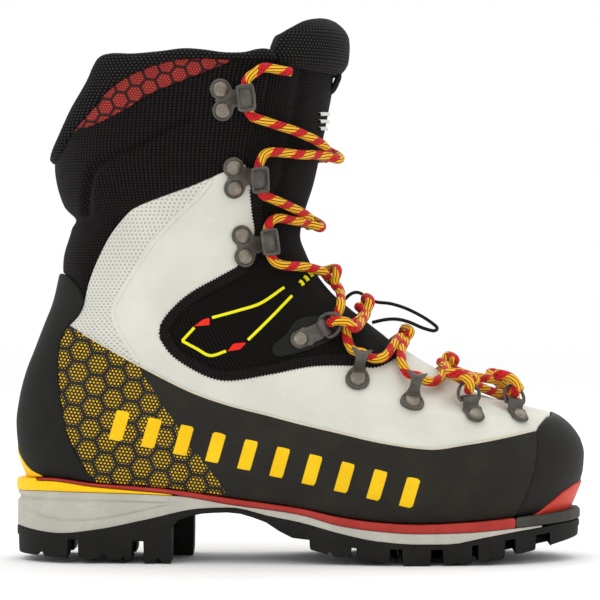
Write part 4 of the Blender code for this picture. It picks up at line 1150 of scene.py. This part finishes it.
def keep(build, node, body):
    """Makes a piece that stands in for one CAD node and moves with a body."""
    obj = build.make(f"{node}_detail")
    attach(obj, body)
    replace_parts(obj, node)
    return obj


# ---------------------------------------------------------------- lace and pull cord
# The lace through a ring and behind a hook: along the hardware, across it and out from the boot.
RING_PASS = [
    (21, -8, 8.5), (17.4, -4.2, 11.4), (12.7, -1, 10.9), (11.4, 0, 7.4), (13.5, 1, 4.0), (17.4, 3.6, 3.4),
    (22, 8, 3.4),
]
ANKLE_PASS = [(along + ANKLE_STRAP, across, out) for along, across, out in RING_PASS]
HOOK_PASS = [(18, -12, 4.6), (12.6, -8.5, 5.6), (10.9, 0, 5.9), (12.6, 8.5, 5.6), (18, 12, 4.6)]
# Under a guide's fork, and in a wide curve on both sides of it: x and z from the rivet, and out from the boot.
GUIDE_LOOP = [
    (16.5, 12, 4.6), (12.5, 7, 4.0), (6.5, 6, 4.4), (1.4, 8.2, 5.5), (-3.2, 10, 4.8), (-6, 15, 4.4),
    (-6.6, 21, 4.4),
]
# The hardware from the toe up: its x and z, which way it points, how the lace passes, and the sign of across.
STOPS = [((x, z), (lean, 1), RING_PASS, 1) for x, z, lean in CLIPS[::-1]]
STOPS += [((x, z), None, GUIDE_LOOP, 1) for x, z, lean in GUIDES[::-1]]
STOPS += [(ANKLE_RING[:2], (1, ANKLE_RING[2]), ANKLE_PASS, -1)]
STOPS += [((x, z), HOOK_FORWARD, HOOK_PASS, -1) for x, z in HOOKS[::-1]]
# The heights where the two halves of the lace cross, from the toe up.
CROSSINGS = (82.2, 95.5, 110, 126, 143, 173, 208)
UNDER, OVER = 3.2, 9.0  # how far out the lace crosses the middle, under and over its other half
CROSS_HALF, ALONG_OUT = 4.5, 4.2  # how far to each side a crossing is held, and how far out the lace runs between
LACE_RADIUS = 2.4


def front_point(z, out, y=0.0):
    """A point in front of the boot's middle, out from its front."""
    slope = (FRONT(z + 1) - FRONT(z - 1)) / 2
    normal = np.array([1, 0, -slope]) / math.hypot(1, slope)
    return np.array([float(FRONT(z)), y + float(middle_y(FRONT(z))), z]) + normal * out


def along_last(start, end, side, out, shares):
    """Points over the surface between two (x, z) places on one side."""
    a, b = angle_at(*start, side), angle_at(*end, side)
    return [off_last(a + (b - a) * t, start[1] + (end[1] - start[1]) * t, out) for t in shares]


def stop_points(stop, side):
    """How the lace passes one piece of hardware."""
    (x, z), forward, passing, hand = stop
    if forward is None:
        return [on_side(x + dx, z + dz, side, out) for dx, dz, out in passing]
    matrix = frame_on(x, z, side, forward)
    return [matrix[:3, :3] @ np.array([a, b * side * hand, c]) + matrix[:3, 3] for a, b, c in passing]


def strand(start_side):
    """Half of the lace, from the middle at the toe to its end at the collar."""
    side, points = start_side, [front_point(79.6, UNDER)]
    for i, stop in enumerate(STOPS):
        arriving = stop_points(stop, side)
        if i > 1:
            z = CROSSINGS[i - 1]
            points += along_last((FRONT(z), z), (arriving[0][0], arriving[0][2]), side, ALONG_OUT, (0.35, 0.7))
        points += arriving
        if i < len(CROSSINGS):
            z = CROSSINGS[i]
            out = OVER if (i % 2 == 0) == (start_side < 0) else UNDER
            if i > 0:
                points += along_last((arriving[-1][0], arriving[-1][2]), (FRONT(z), z), side, ALONG_OUT, (0.3, 0.65))
            points += [front_point(z - 1, out, side * CROSS_HALF), front_point(z + 1, out, -side * CROSS_HALF)]
            side = -side
    return points + along_last((-19.5, 250), (-7, 248.5), side, 5.0, (0, 0.5, 1))


def through(points, step):
    """A smooth line through points, with a point about every step."""
    points = [np.array(p, float) for p in points]
    padded = [points[0] * 2 - points[1], *points, points[-1] * 2 - points[-2]]
    line = [points[0]]
    for a, b, c, d in zip(padded, padded[1:], padded[2:], padded[3:]):
        count = max(1, round(float(np.linalg.norm(c - b)) / step))
        line += [curve_at(a, b, c, d, t) for t in np.arange(1, count + 1) / count]
    return line


def make_lace():
    outer, inner = strand(-1), strand(1)
    line = through(outer[:0:-1] + inner, 1.3)
    braid = Build().add(LACE_PAINT, *sweep(line, LACE_RADIUS, 16))
    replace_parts(bend(braid.make("lace_braid", smooth_angle=None)), "lace")


PULL_LOOP = [
    (38.5, 9.5, 132.2), (47, 8.5, 131), (55, 7, 128.5), (63, 4.5, 124.5), (68.5, 2, 120.8), (70.8, 0, 118.4),
    (69, -1.6, 117), (63, -2.5, 118.6), (56, -3, 121.6), (50, -3, 123), (44, -3, 122.8),
]
CORD = 1.8  # the pull cord's diameter


def make_cord():
    """The elastic pull cord: out of the tongue, round in a loop and back in."""
    route = [front_point(132, 1.0, 6), front_point(131.5, 6, 6), front_point(129.5, 9.2, 9.5), *PULL_LOOP,
             front_point(120.5, 1.0, -3)]
    line = through(route, 1.5)
    curve = bpy.data.curves.new("pull_cord_elastic", "CURVE")
    curve.dimensions = "3D"
    curve.bevel_depth = CORD / 2 * MM
    curve.bevel_resolution = 3
    curve.use_fill_caps = True
    spline = curve.splines.new("POLY")
    spline.points.add(len(line) - 1)
    for point, place in zip(spline.points, line):
        point.co = (*(place * MM), 1)
    curve.materials.append(CORD_PAINT)
    obj = put("pull_cord_elastic", curve)
    length = sum(float(np.linalg.norm(b - a)) for a, b in zip(line, line[1:])) * MM
    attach(obj, "foot")
    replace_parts(obj, "pull_cord")


# ---------------------------------------------------------------- sole
# Heights of its layers, as z against x.
PLATE_BOTTOM = smooth([
    (-146, 35.7), (-127, 36.5), (-103, 36), (-62, 34.4), (-35, 30.2), (0, 25.4), (20, 20), (39, 17.5),
    (60, 16.3), (80, 16.6), (108, 18.6), (146, 21),
])
MIDSOLE_BOTTOM = smooth([
    (-146, 18), (-122, 15.4), (-102, 17.5), (-78, 22.3), (-50, 28), (-35, 28.6), (-16, 24.5), (0, 21.4),
    (20, 16), (39, 12.3), (60, 10.9), (74, 10.9), (92, 14), (108, 16.6), (122, 18.4), (130, 19.6),
    (146, 20.6),
])
BASE_BOTTOM = smooth([
    (-146, 12.6), (-112, 12.3), (-80, 11.4), (-72, 12), (-68, 14), (-64, 20.2), (-59, 23), (-48.8, 25.4),
    (-35.4, 26), (-19.1, 22), (-3.5, 13.5), (12, 12), (28, 8.6), (45, 8.4), (70, 8.2), (84, 9.8), (100, 12),
    (116, 14.2), (146, 17),
])
GROUND = smooth([
    (-146, 4), (-130, 3.3), (-115, 2.7), (-99, 2.4), (-86, 2), (-79.5, 0), (-60, 0), (0, 9), (6, 7.5),
    (19, 4.4), (26, 4.2), (28, 3.2), (37, 2.4), (44, 1.8), (50, 0), (66, 0), (72, 0.6), (84, 1.2), (92, 2),
    (100, 2.8), (106, 4.8), (116, 6.4), (124, 8.2), (146, 12.5),
])
PLATE_OVER_INSERT = smooth([
    (-134, 41.7), (-127, 41.8), (-103, 39), (-80, 36.9), (-68, 35.8), (-64, 35.2), (-59, 33.9), (-40, 0),
])
INSERT_TOP = smooth([
    (-146, 41.5), (-138, 42.3), (-134.2, 42.4), (-133.4, 41.2), (-127, 41.4), (-103, 38.6), (-80, 36.5),
    (-68, 35.4), (-64.5, 34.9),
])
# Each lug's rear end, its front end on the lateral and medial side, and where it ends inwards, as a share of the
# way from the middle to the edge.
SIDE_LUGS = (
    (-144.3, -117, -117, 0.3), (-112, -84.5, -84.5, 0.3), (-79, -64.5, -55, 0.35), (4.5, 26, 26, 0.35),
    (28.5, 45, 45, 0.4), (51, 65.5, 65.5, 0.4), (71.3, 86, 86, 0.4), (89, 102.8, 102.8, 0.4),
    (108, 119, 119, 0.35), (126.3, 143.3, 143.3, 0.2),
)
CENTRE_LUGS = ((6, 20), (36, 50), (60, 72), (80, 92), (98, 110), (114, 138))
CENTRE_LUG_HALF, LUG_SUNK = 11, 1.2  # half a centre lug's width, and how far all reach up into the sole
# Notches across the tread: their middle, half their length and their depth.
NOTCHES = (
    (-131.5, 1.6, 2.2), (-99.5, 2.4, 3.2), (-89, 1.2, 1.6), (-71.5, 1.8, 3.4), (15, 1.6, 1.6),
    (37, 1.2, 1.2), (78.5, 1.0, 1.2), (96, 1.0, 1.2),
)
SOLE_BACK, SOLE_FRONT, SOLE_LEDGE = -145.7, 144.6, 1.5  # the sole's ends, and how far it stands out of the upper
HEEL_ROUND, TOE_ROUND = 38, 50  # the lengths over which its ends are rounded


def sole_edge(x, side, inside=0.0):
    """The sole's edge on one side, as y against x."""
    widths = FOOT_OUTER if side < 0 else FOOT_INNER
    half = widths(x) + SOLE_LEDGE - inside
    half = half * cap(x - SOLE_BACK - inside, HEEL_ROUND) * cap(SOLE_FRONT - inside - x, TOE_ROUND)
    return middle_y(x) + side * half


def layer(low, high, inside, top, bottom, profile, dents=None):
    """A layer of the sole between two places, its side following a profile.

    profile is (inwards, share of the height) from the bottom up. dents(x, share) are extra mm inwards.
    """
    t = np.linspace(0, 1, 70)
    round_back, round_front = low < -140, high > 140
    ends = (0.5 * (1 - np.cos(np.pi * t)) if round_back and round_front
            else 1 - np.cos(np.pi / 2 * t) if round_back else np.sin(np.pi / 2 * t) if round_front else t)
    x = low + (high - low) * ends
    left, right = sole_edge(x, -1, inside), sole_edge(x, 1, inside)
    loop = np.vstack([np.stack([x, right], -1), np.stack([x, left], -1)[::-1]])
    rings = []
    for inwards, share in profile:
        by = inwards + (dents(loop[:, 0], share) if dents is not None else 0)
        edge = inset_loop(loop, np.broadcast_to(by, (len(loop),))[:, None])
        z = bottom(edge[:, 0]) + (top(edge[:, 0]) - bottom(edge[:, 0])) * share
        rings.append(np.column_stack([edge, z]))
    return stack(rings)


def lug_ground(x):
    """The tread's underside, with small notches across the blocks."""
    z = GROUND(x)
    for middle, half, deep in NOTCHES:
        z = z + deep * np.sqrt(np.clip(1 - np.abs(x - middle) / half, 0, 1))
    return z


def lug(low, high, side, share):
    """One tread block, narrowing a little to the ground."""
    x = np.linspace(low, high, max(8, int((high - low) / 0.7)))
    if side == 0:
        near, far = middle_y(x) - CENTRE_LUG_HALF, middle_y(x) + CENTRE_LUG_HALF
    else:
        near = sole_edge(x, side, 0.05)
        far = middle_y(x) + (near - middle_y(x)) * share
    loop = np.vstack([np.stack([x, near], -1), np.stack([x, far], -1)[::-1]])
    ground, top = lug_ground(loop[:, 0]), MIDSOLE_BOTTOM(loop[:, 0]) - LUG_SUNK
    rings = [np.column_stack([inset_loop(loop, inwards), ground + (top - ground) * part])
             for inwards, part in ((0.05, 1.0), (0.15, 0.5), (0.35, 0.14), (0.55, 0.05), (0.9, 0.0))]
    return stack(rings)


def make_sole():
    square_edge = ((0.5, 0.0), (0.1, 0.06), (0.0, 0.3), (0.0, 0.9), (0.3, 1.0))
    b = Build()
    b.add(TREAD, *layer(-145.3, 144, 0, lambda x: MIDSOLE_BOTTOM(x) - 0.3, BASE_BOTTOM, square_edge))
    for low, lateral, medial, share in SIDE_LUGS:
        b.add(TREAD, *lug(low, lateral, -1, share))
        b.add(TREAD, *lug(low, medial, 1, share))
    for low, high in CENTRE_LUGS:
        b.add(TREAD, *lug(low, high, 0, 0))
    keep(b, "outsole", "foot")

    upper = smooth([(-141, 0.81), (-112, 0.79), (-83.4, 0.72), (-62.3, 0.59)])
    lower = smooth([(-141, 0.58), (-131.6, 0.38), (-119, 0.30), (-102.7, 0.27), (-83.4, 0.33), (-62.3, 0.57)])

    def grooves(x, share):
        """Two long grooves along the heel that meet at both ends, and a notch at the back."""
        deep = np.exp(-(((share - upper(x)) / 0.035) ** 2)) + np.exp(-(((share - lower(x)) / 0.035) ** 2))
        return 0.8 * deep * ease((-62 - x) / 8) * ease((x + 144) / 6) + 1.6 * np.exp(
            -(((share - 0.83) / 0.07) ** 2)) * ease((-139 - x) / 4)

    shares = np.linspace(0, 1, 41)
    profile = [(0.3 * (abs(2 * s - 1)) ** 10, s) for s in shares]
    block = layer(-145, 122, 0.2, lambda x: PLATE_BOTTOM(x) - 0.3, MIDSOLE_BOTTOM, profile, grooves)
    keep(Build().add(MIDSOLE, *block), "midsole", "foot")

    def under_upper(x):
        return FEATHER(x) - 0.3

    def over_insert(x):
        return np.maximum(PLATE_OVER_INSERT(x), PLATE_BOTTOM(x))

    rounded = ((0.6, 0), (0.15, 0.12), (0, 0.3), (0, 0.7), (0.15, 0.88), (0.6, 1.0))
    for name, low, high, inside, top, bottom, paint in (
            ("heel_insert", -145.5, -64.5, -0.2, INSERT_TOP, PLATE_BOTTOM, YELLOW),
            ("sole_plate", -133, 108, -0.25, under_upper, over_insert, RED),
            ("toe_welt", 108.4, 144.4, -0.4, under_upper, PLATE_BOTTOM, WELT)):
        keep(Build().add(paint, *layer(low, high, inside, top, bottom, rounded)), name, "foot")
    spur = [middle_back(58.5), (-143.4, 56), (-140.6, 51.5), (-136, 46.8), (-129.5, 43.7), (-134, 43.2),
            middle_back(42.5)]
    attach(panel("heel_spur", curved(spur), "back", YELLOW, top=2.0, thick=2.6, edge=0.8, grid=1.6), "foot")
    toe = [middle_front(40.5), (139.5, 38.9), (133, 35.3), (125, 29.2), (118, 24.3), (127, 24.8), middle_front(26.2)]
    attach(panel("toe_insert", toe, "front", RED_INSERT, top=1.5, thick=2.6, edge=0.8, grid=1.6), "foot")


def make_footbed():
    """The felt footbed, cupped a little at its edge, and the paints of the board and shank under it."""
    cup = ((1.2, 0.0), (0.3, 0.1), (0, 0.5), (0, 0.85), (0.5, 1.0), (2.2, 0.95), (6, 0.72))
    felt = layer(-137.5, 137, 8.0, lambda x: FEATHER(x) + 9.4, lambda x: FEATHER(x) + 4.9, cup)
    keep(Build().add(FLEECE, *felt), "footbed", "foot")
    for node, paint in (("insole_board", BOARD), ("shank", SHANK)):
        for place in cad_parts[node].material_slots:
            place.material = paint


# ---------------------------------------------------------------- studio
FLOOR_HALF = 6000


def make_studio():
    """A level camera at the boot's outer side, soft lights and a pale floor."""
    distance, width, height = 1.5, 0.3096, 0.1329
    camera = bpy.data.cameras.new("camera")
    camera.sensor_width = 36
    camera.lens = camera.sensor_width * distance / width
    holder = put("camera", camera)
    holder.location = (0, -distance, height)
    holder.rotation_euler = (math.radians(90), 0, 0)
    bpy.context.scene.camera = holder
    bpy.context.scene.view_settings.view_transform = "Standard"

    world = bpy.data.worlds.new("studio")
    bpy.context.scene.world = world
    world.use_nodes = True
    world.node_tree.nodes["Background"].inputs[0].default_value = (1, 1, 1, 1)
    world.node_tree.nodes["Background"].inputs[1].default_value = 1.0
    lights = (("key", (-0.7, -1.3, 1.1), 0.7, 3), ("fill", (1.2, -0.9, 0.7), 0.9, 1), ("top", (0.1, 0.1, 1.5), 0.8, 4),
              ("back", (0.3, 1.3, 0.9), 0.9, 3))
    for name, place, size, power in lights:
        light = bpy.data.lights.new(name, "AREA")
        light.size = size
        light.energy = power
        lamp = put(name, light)
        lamp.location = place
        lamp.rotation_euler = (Vector(place) - Vector((0, 0, 0.12))).to_track_quat("Z", "Y").to_euler()
    paint = Paint("pale_floor")
    colour = paint.mix(paint.noise(paint.place(), 0.002), (252, 252, 252), (254, 254, 254))
    corners = [(x * FLOOR_HALF, y * FLOOR_HALF, 0) for x, y in ((-1, -1), (1, -1), (1, 1), (-1, 1))]
    new_object("floor", corners, [(0, 1, 2, 3)], paint.finish(colour, 0.9))


make_studio()
make_cord()
make_lace()
make_hardware()
make_sole()
make_rubber()
make_white()
make_textiles()
make_tongue()
make_tongue_tab()
make_footbed()
make_collar()
make_lining()
make_prints()
